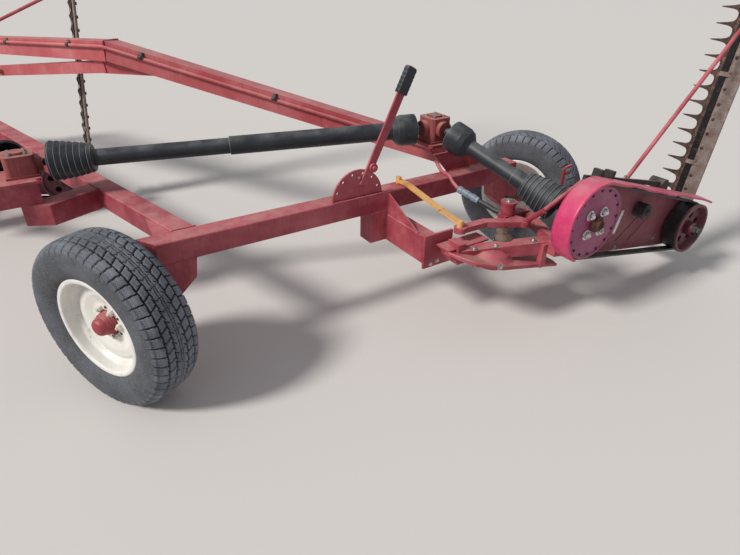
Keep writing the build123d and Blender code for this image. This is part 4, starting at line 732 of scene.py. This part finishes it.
def build_cone_rings(sizes):
    """A pale ring, partly dust and partly painted highlight, on the crest of each rib: middle + radius * (cos
    t * side + sin t * up), where the radius grows with the root of the rib's count from the small end, as the
    frame's own cones do."""
    rings = []
    for wide_end, far_end, axis in CONES:
        wide_end, far_end = np.array(wide_end, dtype=float), np.array(far_end, dtype=float)
        way = unit(far_end - wide_end)
        tilt = math.acos(min(1.0, abs(float(way @ axis))))
        place = wide_end + way * (10 + 89 * math.sin(tilt))
        side, up, _ = frames(way[None, :])
        for rib in range(CONE_RIBS):
            crest = CREST_START + CREST_GROWTH * math.sqrt((rib + 1) / CONE_RIBS)
            middle = place + way * (CONE_LENGTH - (rib + 0.58) * RIB_STEP)
            # Pale rings on the rib crests: partly dust, partly painted highlight.
            rings.append(tube_grid(metres(circle(middle, crest, 64, side, up)), PALE_RING, 6, True))
    closed_piece("cone_rings", joined(rings), "pale", "frame")


GRIP_FOOT = np.array([1178.0, -43.0, 1040.0])
GRIP_WAY = np.array([193.0, 0.0, 390.0]) / math.hypot(193, 390)
GRIP_LENGTH, GRIP_SIDES = 108, 32


def build_grip(sizes):
    """Moulded grip: sections |a/15.6|^8 + |b/26|^8 = 1 along the lever, with a slight swelling every
    19 mm and a rounded end."""
    across = np.array([GRIP_WAY[2], 0.0, -GRIP_WAY[0]])
    end = GRIP_LENGTH + 9.5 * np.sin(np.linspace(0.1, 0.5 * np.pi, 10))
    step = np.concatenate([np.linspace(-4, GRIP_LENGTH, 76), end])
    swell = 1 + 0.02 * np.sin(step * 2 * np.pi / 19)
    dome = np.sqrt(np.clip(1 - ((step - GRIP_LENGTH) / 9.6) ** 2, 0.0004, 1))
    scale = (swell * np.where(step > GRIP_LENGTH, dome, 1.0))[:, None, None]
    turn = np.linspace(0, 2 * np.pi, GRIP_SIDES, endpoint=False)[:, None]
    cosine, sine = np.cos(turn), np.sin(turn)
    a = 15.6 * np.sign(cosine) * np.abs(cosine) ** (2 / 8)
    b = 26.0 * np.sign(sine) * np.abs(sine) ** (2 / 8)
    points = GRIP_FOOT + step[:, None, None] * GRIP_WAY + scale * (a * AHEAD + b * across)
    form = metres(points.reshape(-1, 3)), grid_faces(len(step), GRIP_SIDES, False, True)
    closed_piece("lever_grip", form, "black", "frame")


# Pressed pan of the head frames

PAN_FOOT = np.array([1160.0, -600.0, 432.0])
PAN_LEAN = math.radians(13)
PAN_WALL = 0.002
PAN_CORNERS = (
    (0, 150), (70, 22), (185, -28), (560, -30), (562, 178), (420, 219), (60, 214), (0, 150.5),
)
PAN_MIDDLE = np.array([310.0, 95.0])
PAN_BULGE = np.array([232.0, 95.0])
# The rim from the flat outwards: share of the way to the outline, and height
PAN_RIM = (
    (0.955, 0.6), (0.975, 2.6), (0.99, 3.6), (1.0, 2.0), (1.004, -3.0), (1.004, -9.5), (0.995, -12.0),
)


def build_pans(sizes):
    """The pan under each head as a height over its plan: flat, with a round bulge, and a rim that
    first rises and then turns down as a rounded lip. Plan = middle + share * outline(angle)."""
    run = np.array([math.cos(PAN_LEAN), 0, -math.sin(PAN_LEAN)])
    up = np.array([math.sin(PAN_LEAN), 0, math.cos(PAN_LEAN)])
    corners = np.array(PAN_CORNERS, dtype=float)
    outline = line_at(corners, np.linspace(0, lengths_along(corners)[-1], 181)[:-1])
    for _ in range(14):
        outline = (np.roll(outline, 1, axis=0) + 2 * outline + np.roll(outline, -1, axis=0)) / 4
    share = np.concatenate([np.linspace(0.02, 0.93, 30), [share for share, _ in PAN_RIM]])
    height = np.concatenate([np.zeros(30), [height for _, height in PAN_RIM]])
    plan = PAN_MIDDLE + share[:, None, None] * (outline - PAN_MIDDLE)
    gap = np.linalg.norm(plan - PAN_BULGE, axis=-1)
    bulge = 46 * np.clip(1.25 - gap / 88, 0, 1) ** 0.7 * np.clip((104 - gap) / 30, 0, 1)
    rise = 7.0 + height[:, None] + np.minimum(bulge, 40)
    points = PAN_FOOT + plan[..., 0:1] * run + plan[..., 1:2] * AHEAD + rise[..., None] * up
    faces = grid_faces(len(share), len(outline), False, True)
    for head, move in HEADS.items():
        form = metres(points.reshape(-1, 3) + move), faces
        piece = sheet_piece(f"{head}_pan", form, "frame", "frame", PAN_WALL)
        piece.data.flip_normals()


# Welds, bolts, clips and other small iron


def hex_bolts(places, normals, size, height=0.008, washer=1.5):
    """Bolt heads: a round washer, then a six-sided head with a chamfered top. Sizes are in metres."""
    foot, top = 0.0022, 0.0022 + height
    low = [(0, 0), (0, size * washer), (foot, size * washer), (foot, size * 0.4)]
    head = [(foot, size), (foot + height * 0.85, size), (top, size * 0.86), (top, 0)]
    places = metres(places)
    return joined([turned_array(places, normals, low, 16), turned_array(places, normals, head, 6, 0.3)])


BEAD_STEP, BEAD_DROP = 0.006, 0.009


def weld_bead(corners, radius, closed):
    """A bead along a polyline: a low tube whose radius and height ripple like stacked drops."""
    corners = metres(corners)
    if closed:
        corners = np.vstack([corners, corners[:1]])
    length = lengths_along(corners)[-1]
    places = np.linspace(0, length, max(int(length / BEAD_STEP), 4), endpoint=not closed)
    ripple = radius * (1 + 0.16 * np.sin(places * 2 * np.pi / BEAD_DROP) + 0.12 * np.sin(places * 61.0))
    return tube_grid(line_at(corners, places), ripple, 6, closed)


def square_corners(centre, side, up, half_side, half_up):
    """The four corners of a square section: centre plus and minus half the side and half the height."""
    turns = ((1, 1), (-1, 1), (-1, -1), (1, -1))
    return np.array([centre + a * half_side * side + b * half_up * up for a, b in turns])


def knee_seam():
    """The arch's section at its knee, carried along the front run to the plane that halves the kink."""
    rise, front = unit(ARCH_KNEE - ARCH_FOOT), unit(ARCH_TIP - ARCH_KNEE)
    plane = unit(rise + front)
    side = unit(np.cross(front, UP))
    corners = square_corners(ARCH_KNEE, side, np.cross(side, front), 51.3, 51.3)
    return corners - np.outer((corners - ARCH_KNEE) @ plane / (front @ plane), front)


def build_welds(sizes):
    """The frame's weld beads as rippled tubes along the seams: loops round tubes and open runs."""
    seams = [
        ([(136, 47.5, 594), (234, 47.5, 594), (234, 47.5, 499), (136, 47.5, 499)], True),
        ([(1845, 47.8, 583), (1975, 47.8, 580), (1975, 47.8, 506), (1845, 47.8, 502)], True),
        (knee_seam(), True),
    ]
    for move in HEADS.values():
        seams.append((square_corners(move + (1075, 0, 498.8), RIGHT, AHEAD, 45.4, 47.3), True))
        seams.append((square_corners(move + (1157.5, -349.5, 410), RIGHT, UP, 37.8, 65.4), True))
        for x in (1123.6, 1132.4):
            seams.append((move + [(x, -48, 590), (x, -48, 475.5), (x, -290, 475.5)], False))
    seams.append(([(1552, 22.6, 594.4), (1705, 22.6, 594.4)], False))
    seams.append(([(830, -47.8, 594.3), (1094, -47.8, 594.3)], False))
    for x, inward in ((45, 1), (1993, -1)):
        for y in (-36.4, 36.4):
            seams.append(([(x - inward * 20, y, 498.7), (x + inward * 155, y, 498.7)], False))
    tongue = np.array([-math.sin(TONGUE_TURN), math.cos(TONGUE_TURN), 0])
    face = TONGUE_FOOT - 47.6 * np.array([math.cos(TONGUE_TURN), math.sin(TONGUE_TURN), 0])
    seams.append(([face + tongue * 655, face + tongue * 770], False))
    beads = [weld_bead(corners, sizes.weld_radius, closed) for corners, closed in seams]
    closed_piece("weld_beads", joined(beads), "frame", "frame")


# Hex bolts of each head and of the frame: places, way, and the sizes of the heads in metres
HEAD_BOLTS = (
    ([(1188, -362, 352), (1150, -362, 345)], REAR, 0.008, 0.006, 1.3),
    ([(2050, -688, 330), (2390, -688, 300)], REAR, 0.0085, 0.006),
    ([(1290, -490, 436.5), (1390, -522, 441), (1560, -585, 452)], UP, 0.009),
    ([(1575, -395, 574)], UP, 0.016, 0.010),
    ([(1325, -620, 402), (1610, -620, 332)], REAR, 0.011),
)
SECTOR_BOLTS = ([(965, -38.1, 690), (1006, -38.1, 700)], REAR, 0.006, 0.005, 1.2)
GEARBOX_BOLTS = (
    ([(x, y, 795) for x in (-330, -270) for y in (690, 750)], UP, 0.007),
    ([(x, y, 853) for x in (1515, 1575) for y in (120, 180)], UP, 0.007),
    ([(1545, 150, 863)], UP, 0.010),
)
GUARD_BOLT = ((0, 0), (0, 0.0085), (0.003, 0.0078), (0.0048, 0.005), (0.0052, 0))
GUARD_NUT = ((0, 0), (0, 0.010), (0.008, 0.010), (0.008, 0))
KNIFE_RIVET = ((0, 0), (0, 0.0045), (0.0016, 0.004), (0.0022, 0))


def build_bolts(sizes):
    """Bolt heads of the frame as washers and hexagons turned about their own axes."""
    sets = [hex_bolts(*SECTOR_BOLTS)]
    for move in HEADS.values():
        sets += [hex_bolts(move + places, *rest) for places, *rest in HEAD_BOLTS]
    sets += [hex_bolts(*bolts) for bolts in GEARBOX_BOLTS]
    closed_piece("bolt_heads", joined(sets), "zinc", "frame", False)


def build_bar_bolts(sizes):
    """Rows at the guards' pitch along each bar: bolts with nuts on the bar, rivets on the knife."""
    way = np.array([math.sin(BAR_LEAN), 0, math.cos(BAR_LEAN)])
    out = np.array([-math.cos(BAR_LEAN), 0, math.sin(BAR_LEAN)])
    along = (GUARD_START + (np.arange(GUARD_COUNT) + 0.5) * GUARD_STEP)[:, None]
    for head, move in HEADS.items():
        hinge = BAR_HINGE + move
        row = hinge + along * way + (0, -38.0, 0)
        heads = turned_array(metres(row + 0.1 * out), out, GUARD_BOLT, 10)
        nuts = turned_array(metres(row - 17.5 * out), -out, GUARD_NUT, 6)
        form = joined([heads, nuts])
        closed_piece(f"{head}_guard_bolts", form, "guard", f"{head}_bar", False)
        row = hinge + along[1:-1] * way + (0, -10, 0) + 5.4 * out
        rivets = np.concatenate([row + 17 * way, row - 17 * way])
        body = f"{head}_blade"
        turned_piece(f"{head}_knife_rivets", rivets, out, KNIFE_RIVET, 8, "grease", body, True)


CLIP_WALL = 0.003
HOSE_ENDS = np.array([[1501.5, -125.5, 558.0], [1537.0, -238.0, 527.0]])


def build_clips(sizes):
    """Bent straps over the pipe on the arch: a strap section carried round the pipe, with a radius of
    11.5 mm, and on to its feet on the tube."""
    turn = np.linspace(-0.5 * np.pi, 0.5 * np.pi, 13)[:, None]
    straps = []
    for start, end, distances in (
        (ARCH_FOOT, ARCH_KNEE, (520, 1250, 1985)),
        (ARCH_KNEE, ARCH_TIP, (330, 1100, 1900)),
    ):
        way = unit(end - start)
        side = unit(np.cross(UP, way))
        up = np.cross(way, side)
        for distance in distances:
            middle = start + way * distance + side * 62 + (0, 0, 27.0)
            arc = middle + 11.5 * (np.cos(turn) * side + np.sin(turn) * up)
            foot = middle - 11.5 * up - side * 9.5
            lap = [middle + 11.5 * up - side * 9.5, middle + 25.5 * up - side * 10]
            line = np.vstack([foot, arc, lap])
            strap = line[:, None, :] + np.array([[-13.0], [13.0]]) * way
            straps.append((metres(strap.reshape(-1, 3)), grid_faces(len(line), 2)))
    sheet_piece("pipe_clips", joined(straps), "dark", "frame", CLIP_WALL)


def build_coupling(sizes):
    """The hose's coupling as a tube whose radius steps up in bands of 22 mm every 40 mm and ripples."""
    start, end = HOSE_ENDS
    step = np.linspace(0, np.linalg.norm(end - start), 90)
    way = unit(end - start)
    radius = 15.5 + 2.6 * (np.mod(step, 40) < 22) + 0.5 * np.sin(step * 2.2)
    tube = tube_grid(metres(start + step[:, None] * way), radius / 1000, 20)
    lids = turned_array(metres(HOSE_ENDS), [-way, way], [(0, 0.0155), (0, 0)], 20)
    closed_piece("hose_coupling", joined([tube, lids]), "coupling", "frame")


def build_strips(sizes):
    """Bare strip on each backing plate: a flat slanted sheet over (u, v) from -1 to 1, its middle
    raised by 0.3 (1 - u^2)(1 - v^2)."""
    u, v = np.linspace(-1, 1, 15)[:, None], np.linspace(-1, 1, 7)[None, :]
    y = -689.4 - 0.3 * (1 - u**2) * (1 - v**2)
    points = np.stack([2028 + 18 * u + 11 * v, y, 475 + 61 * u - 3.2 * v], axis=-1).reshape(-1, 3)
    for head, move in HEADS.items():
        form = metres(points + move), grid_faces(15, 7)
        sheet_piece(f"{head}_bare_strip", form, "strip", "frame", 0.0008)


def build_idlers(sizes):
    """Idler pulleys: black wheels turned from a profile with a wave every 9.2 mm, with a nut in front."""
    step = np.linspace(0, 49, 50)
    tread = np.stack([step, 36 + 2.2 * np.sin(step * 2 * np.pi / 9.2)], axis=1) / 1000
    profile = [(0, 0.010), (0, 0.030), *tread, (0.051, 0.034), (0.051, 0.019), (0.060, 0.017), (0.061, 0)]
    for head, move in HEADS.items():
        place = [move + (2160, -693, 515)]
        turned_piece(f"{head}_idler", place, REAR, profile, 36, "grease", "frame", True)


def build_collars(sizes):
    """Rusty collar with caked dirt between each head's arm and its spar. The dirt is a cap of height
    h (1 - (r/R)^2.4)."""
    share = np.linspace(1, 0, 12)
    cap = np.stack([0.004 + 0.026 * (1 - share**2.4), 0.048 * np.maximum(share, 0.001)], axis=1)
    dirt = [(0, 0), (0, 0.046), *cap]
    collar = [(0, 0), (0, 0.031), (0.043, 0.029), (0.0442, 0)]
    for head, move in HEADS.items():
        places = metres([move + (1478.0, -480.0, 440.0), move + (1478.0, -470.0, 440.0)])
        form = joined([turned_array(places[:1], UP, dirt, 28), turned_array(places[1:], UP, collar, 28)])
        closed_piece(f"{head}_dirty_collar", form, "caked", "frame")


def build_linch_rings(sizes):
    """Linch rings at the transport rods' feet: thin tubes on circles."""
    feet = np.array([(2120, -609, 650), (-343, 3000, 1060)])
    rings = [tube_grid(metres(circle(foot, 15, 22)), 0.0025, 6, True) for foot in feet]
    closed_piece("linch_rings", joined(rings), "zinc", "frame")


# Stage

FLOOR_REACH = 90.0
LAMP_PLACE = Vector((-7.0, 0.2, 5.9))
# The camera that took the photograph: place, turns in radians, and focal length by the sensor's width
CAMERA_PLACE = (-285, -2013, 1543)
CAMERA_YAW, CAMERA_PITCH, CAMERA_ROLL = 0.590, 0.532, 0.020
CAMERA_FOCAL = 541.9 / 740.0
SENSOR_WIDTH = 36.0


def build_floor():
    """A flat grid under the wheels, in a plain pale finish."""
    u, v = np.meshgrid(*[np.linspace(-FLOOR_REACH, FLOOR_REACH, 9)] * 2, indexing="ij")
    floor_z = metres([(0, 0, 0)])[0][2]
    points = np.stack([u, v + 2, np.full_like(u, floor_z)], axis=-1).reshape(-1, 3)
    mesh = bpy.data.meshes.new("floor")
    mesh.from_pydata(points.tolist(), [], grid_faces(9, 9).tolist())
    floor = bpy.data.objects.new("floor", mesh)
    bpy.context.scene.collection.objects.link(floor)
    plain = bpy.data.materials.new("pale floor")
    plain.use_nodes = True
    shader = plain.node_tree.nodes["Principled BSDF"]
    shader.inputs["Base Color"].default_value = (*srgb(214, 210, 206), 1)
    shader.inputs["Roughness"].default_value = 0.95
    floor.data.materials.append(plain)


def build_light():
    """A soft sky, paler where the camera sees it, and a soft sun."""
    scene = bpy.context.scene
    world = scene.world or bpy.data.worlds.new("world")
    scene.world = world
    world.use_nodes = True
    nodes, links = world.node_tree.nodes, world.node_tree.links
    mix = nodes.new("ShaderNodeMix")
    mix.data_type = "RGBA"
    mix.inputs[6].default_value = (0.60, 0.62, 0.66, 1)
    mix.inputs[7].default_value = (1.13, 1.08, 1.03, 1)
    links.new(nodes.new("ShaderNodeLightPath").outputs["Is Camera Ray"], mix.inputs[0])
    links.new(mix.outputs[2], nodes["Background"].inputs["Color"])
    nodes["Background"].inputs["Strength"].default_value = 0.58
    sun = bpy.data.lights.new("sun", "SUN")
    sun.energy = 3.0
    sun.angle = math.radians(11)
    sun.color = (1.0, 0.97, 0.93)
    lamp = bpy.data.objects.new("sun", sun)
    turn = (-LAMP_PLACE).to_track_quat("-Z", "Y").to_matrix().to_4x4()
    lamp.matrix_world = Matrix.Translation(LAMP_PLACE) @ turn
    scene.collection.objects.link(lamp)


def build_camera():
    """The photograph's camera: it looks along the way that yaw and pitch give, rolled about it."""
    flat = math.cos(CAMERA_PITCH)
    way = np.array([math.sin(CAMERA_YAW) * flat, math.cos(CAMERA_YAW) * flat, -math.sin(CAMERA_PITCH)])
    side = unit(np.cross(way, UP))
    top = np.cross(side, way)
    right = math.cos(CAMERA_ROLL) * side + math.sin(CAMERA_ROLL) * top
    upward = -math.sin(CAMERA_ROLL) * side + math.cos(CAMERA_ROLL) * top
    matrix = np.eye(4)
    matrix[:3] = np.stack([right, upward, -way, metres(CAMERA_PLACE)], axis=1)
    lens = bpy.data.cameras.new("camera")
    lens.sensor_fit = "HORIZONTAL"
    lens.sensor_width = SENSOR_WIDTH
    lens.lens = CAMERA_FOCAL * SENSOR_WIDTH
    lens.clip_end = 100
    camera = bpy.data.objects.new("camera", lens)
    camera.matrix_world = Matrix(matrix.tolist())
    bpy.context.scene.collection.objects.link(camera)
    bpy.context.scene.camera = camera


# Finishes and the nodes that wear them


def mix_finishes(paints):
    """Mixes every finish. The rows of painted hold what old_paint takes, in its order."""
    dust, red, faded = tuple(paints.dust), tuple(paints.frame_red), tuple(paints.frame_faded_and_lit)
    pink, orange = tuple(paints.shroud_pink), tuple(paints.shroud_orange)
    painted = {
        "frame": ("faded frame red", red, faded, dust),
        # A lighter copy of the frame red for the arch, brace and pipe: partly real fading, partly painted
        # light.
        "faded": ("bleached frame red", srgb(176, 74, 80), srgb(206, 124, 126), dust, 0.4, 0.4),
        "plate": (
            "dusty plate red", srgb(116, 52, 66), srgb(150, 92, 98), srgb(172, 136, 130), 0.8, 0.5, 0.7
        ),
        "pulley": (
            "drum mauve", srgb(146, 54, 98), srgb(164, 98, 122), srgb(176, 140, 146), 0.5, 0.3, 0.5, 0.8
        ),
        "sheave": (
            "sheave mauve", srgb(84, 32, 48), srgb(112, 60, 70), srgb(140, 104, 104), 0.8, 0.3, 0.5, 0.9
        ),
        "shroud": ("shroud pink", pink, orange, srgb(196, 136, 146), 0.3, 0.65, 0.42, 0.5),
        "ochre": ("ochre paint", tuple(paints.ochre), srgb(232, 184, 120), dust, 0.5, 0.2, 0.5, 0.8),
        "hub": ("hub red", srgb(146, 48, 58), srgb(172, 88, 92), dust, 0.6, 0.3, 0.5, 0.8),
        "case": ("gearbox red", srgb(124, 46, 50), srgb(166, 96, 92), dust, 0.8, 0.4, 0.65, 0.8),
        "dark": ("worn black paint", srgb(38, 36, 38), srgb(70, 64, 62), dust, 0.6, 0.35, 0.55, 0.9),
        "jack": ("jack grey", srgb(92, 92, 92), srgb(132, 130, 126), dust, 0.6, 0.3, 0.5, 0.8),
        "nuts": (
            "chipped cream", srgb(206, 202, 190), srgb(222, 220, 210), srgb(176, 160, 140),
            0.9, 0.3, 0.5, 0.9,
        ),
    }
    FINISH.update({look: old_paint(*row) for look, row in painted.items()})
    rust, tan = tuple(paints.guard_rust), tuple(paints.bar_tan)
    FINISH.update({
        # The 0.75 lays pale rib edges on the guards, partly dust and partly painted highlight.
        "black": moulded_black("guard black", tuple(paints.plastic_black), 0.75),
        "hose": moulded_black("hose rubber", srgb(30, 31, 33)),
        "belt": moulded_black("belt rubber", srgb(34, 33, 34)),
        # Pale rib rings: partly dust, partly painted highlight.
        "pale": moulded_black("pale rib edges, dust and painted highlight", srgb(104, 110, 112)),
        "coupling": moulded_black("blue-grey coupling", srgb(112, 124, 138)),
        "tyre": tyre_rubber("tyre rubber", tuple(paints.tyre_grey)),
        "rim": cream_rim("rim cream", tuple(paints.rim_cream)),
        "guard": rusty_iron("guard iron", rust, srgb(56, 42, 42), 0.3, srgb(150, 128, 120), 0.25),
        "bar": rusty_iron("bar face", tan, srgb(124, 104, 94), 0.35, srgb(186, 174, 162), 0.25),
        "iron": rusty_iron("rusty spindle", srgb(110, 74, 58), srgb(60, 46, 42), 0.4, srgb(150, 130, 116)),
        "caked": rusty_iron("caked dirt", srgb(112, 96, 84), srgb(62, 48, 44), 0.0),
        "zinc": plated_steel("dull zinc", srgb(176, 176, 172)),
        "strip": plated_steel("bare strip", srgb(206, 206, 204)),
        "bright": plated_steel("bright zinc", srgb(214, 216, 218)),
        "grease": greasy_black("greasy black"),
    })
    for head, move in HEADS.items():
        back = metres(move + (0, -562, 0))[1]
        FINISH[f"{head}_knife"] = knife_steel(f"{head} knife steel", float(back))


NODE_FINISH = {
    "left_gearbox": "case", "right_gearbox": "case", "cross_shaft": "black", "rear_shaft": "black",
    "link_shaft": "black", "jack_outer": "jack", "jack_inner": "jack", "hydraulic_hose": "hose",
    "flat_link": "ochre", "arch": "faded", "hydraulic_pipe": "faded", "arch_brace": "faded",
    "rear_knife": "rear_knife", "front_knife": "front_knife",
}
ENDING_FINISH = {
    "_stub_axle": "iron", "_hub": "hub", "_rim": "rim", "_tyre": "tyre", "_back_plate": "plate",
    "_shroud": "shroud", "_drive_pulley": "pulley", "_driven_pulley": "sheave", "_belt": "belt",
    "_cutter_bar": "bar", "_guards": "guard", "_lift_linkage": "dark",
}


def dress_nodes():
    """Gives every carried-over node its finish, by its name or by how its name ends."""
    for name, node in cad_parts.items():
        by_ending = (look for ending, look in ENDING_FINISH.items() if name.endswith(ending))
        look = NODE_FINISH.get(name) or next(by_ending, "frame")
        node.data.materials.clear()
        node.data.materials.append(FINISH[look])


# Operators, one for each piece or group of like pieces


def built(context, *builders):
    """Runs the builders with the scene's sizes."""
    for builder in builders:
        builder(context.scene.mower_sizes)
    return {"FINISHED"}


class MOWER_OT_finishes(bpy.types.Operator):
    """Mixes the finishes and gives them to the frame's own parts"""

    bl_idname = "mower.finishes"
    bl_label = "Paint the frame"

    def execute(self, context):
        mix_finishes(context.scene.mower_paints)
        dress_nodes()
        return {"FINISHED"}


class MOWER_OT_stage(bpy.types.Operator):
    """Sets the floor, the light and the camera"""

    bl_idname = "mower.stage"
    bl_label = "Stage"

    def execute(self, context):
        build_floor()
        build_light()
        build_camera()
        context.scene.view_settings.view_transform = "Standard"
        return {"FINISHED"}


class MOWER_OT_tyres(bpy.types.Operator):
    """Makes both tyres with their tread"""

    bl_idname = "mower.tyres"
    bl_label = "Tyres"

    def execute(self, context):
        return built(context, build_tyres)


class MOWER_OT_rims(bpy.types.Operator):
    """Makes both rims and hubs with their nuts"""

    bl_idname = "mower.rims"
    bl_label = "Rims and hubs"

    def execute(self, context):
        return built(context, build_wheels)


class MOWER_OT_shrouds(bpy.types.Operator):
    """Makes the bent sheet shrouds over the belts"""

    bl_idname = "mower.shrouds"
    bl_label = "Shrouds"

    def execute(self, context):
        return built(context, build_shrouds)


class MOWER_OT_drum_trim(bpy.types.Operator):
    """Makes the nuts, bolts, rings and bands on the drums and driven pulleys"""

    bl_idname = "mower.drum_trim"
    bl_label = "Drum trim"

    def execute(self, context):
        return built(context, build_drum_trim)


class MOWER_OT_plastics(bpy.types.Operator):
    """Makes the pale rings of the shaft guards, partly dust and partly painted highlight, and the lever's
    grip
    """

    bl_idname = "mower.plastics"
    bl_label = "Guard rings and grip"

    def execute(self, context):
        return built(context, build_cone_rings, build_grip)


class MOWER_OT_pans(bpy.types.Operator):
    """Makes the pressed pans under the heads"""

    bl_idname = "mower.pans"
    bl_label = "Pressed pans"

    def execute(self, context):
        return built(context, build_pans)


class MOWER_OT_welds(bpy.types.Operator):
    """Lays the weld beads of the frame"""

    bl_idname = "mower.welds"
    bl_label = "Weld beads"

    def execute(self, context):
        return built(context, build_welds)


class MOWER_OT_bolts(bpy.types.Operator):
    """Sets the bolts, guard bolts and knife rivets"""

    bl_idname = "mower.bolts"
    bl_label = "Bolts and rivets"

    def execute(self, context):
        return built(context, build_bolts, build_bar_bolts)


class MOWER_OT_clips(bpy.types.Operator):
    """Makes the pipe's clips and the hose's coupling"""

    bl_idname = "mower.clips"
    bl_label = "Clips and coupling"

    def execute(self, context):
        return built(context, build_clips, build_coupling)


class MOWER_OT_small_iron(bpy.types.Operator):
    """Makes the bare strips, idlers, dirty collars and linch rings"""

    bl_idname = "mower.small_iron"
    bl_label = "Small iron"

    def execute(self, context):
        return built(context, build_strips, build_idlers, build_collars, build_linch_rings)


STEPS = (
    MOWER_OT_finishes,
    MOWER_OT_stage,
    MOWER_OT_tyres,
    MOWER_OT_rims,
    MOWER_OT_shrouds,
    MOWER_OT_drum_trim,
    MOWER_OT_plastics,
    MOWER_OT_pans,
    MOWER_OT_welds,
    MOWER_OT_bolts,
    MOWER_OT_clips,
    MOWER_OT_small_iron,
)


class MOWER_PT_panel(bpy.types.Panel):
    """Lists the settings and the steps in the sidebar"""

    bl_idname = "MOWER_PT_panel"
    bl_label = "Sickle bar mower"
    bl_space_type = "VIEW_3D"
    bl_region_type = "UI"
    bl_category = "Mower"

    def draw(self, context):
        for group in (context.scene.mower_sizes, context.scene.mower_paints):
            for name in group.bl_rna.properties.keys():
                if name not in ("rna_type", "name"):
                    self.layout.prop(group, name)
        for step in STEPS:
            self.layout.operator(step.bl_idname)


CLASSES = (MowerPaints, MowerSizes, *STEPS, MOWER_PT_panel)


def register():
    for entry in CLASSES:
        bpy.utils.register_class(entry)
    bpy.types.Scene.mower_paints = PointerProperty(type=MowerPaints)
    bpy.types.Scene.mower_sizes = PointerProperty(type=MowerSizes)


def unregister():
    del bpy.types.Scene.mower_sizes
    del bpy.types.Scene.mower_paints
    for entry in reversed(CLASSES):
        bpy.utils.unregister_class(entry)


def main():
    register()
    bpy.ops.mower.finishes()
    bpy.ops.mower.stage()
    bpy.ops.mower.tyres()
    bpy.ops.mower.rims()
    bpy.ops.mower.shrouds()
    bpy.ops.mower.drum_trim()
    bpy.ops.mower.plastics()
    bpy.ops.mower.pans()
    bpy.ops.mower.welds()
    bpy.ops.mower.bolts()
    bpy.ops.mower.clips()
    bpy.ops.mower.small_iron()


if __name__ == "__main__":
    main()
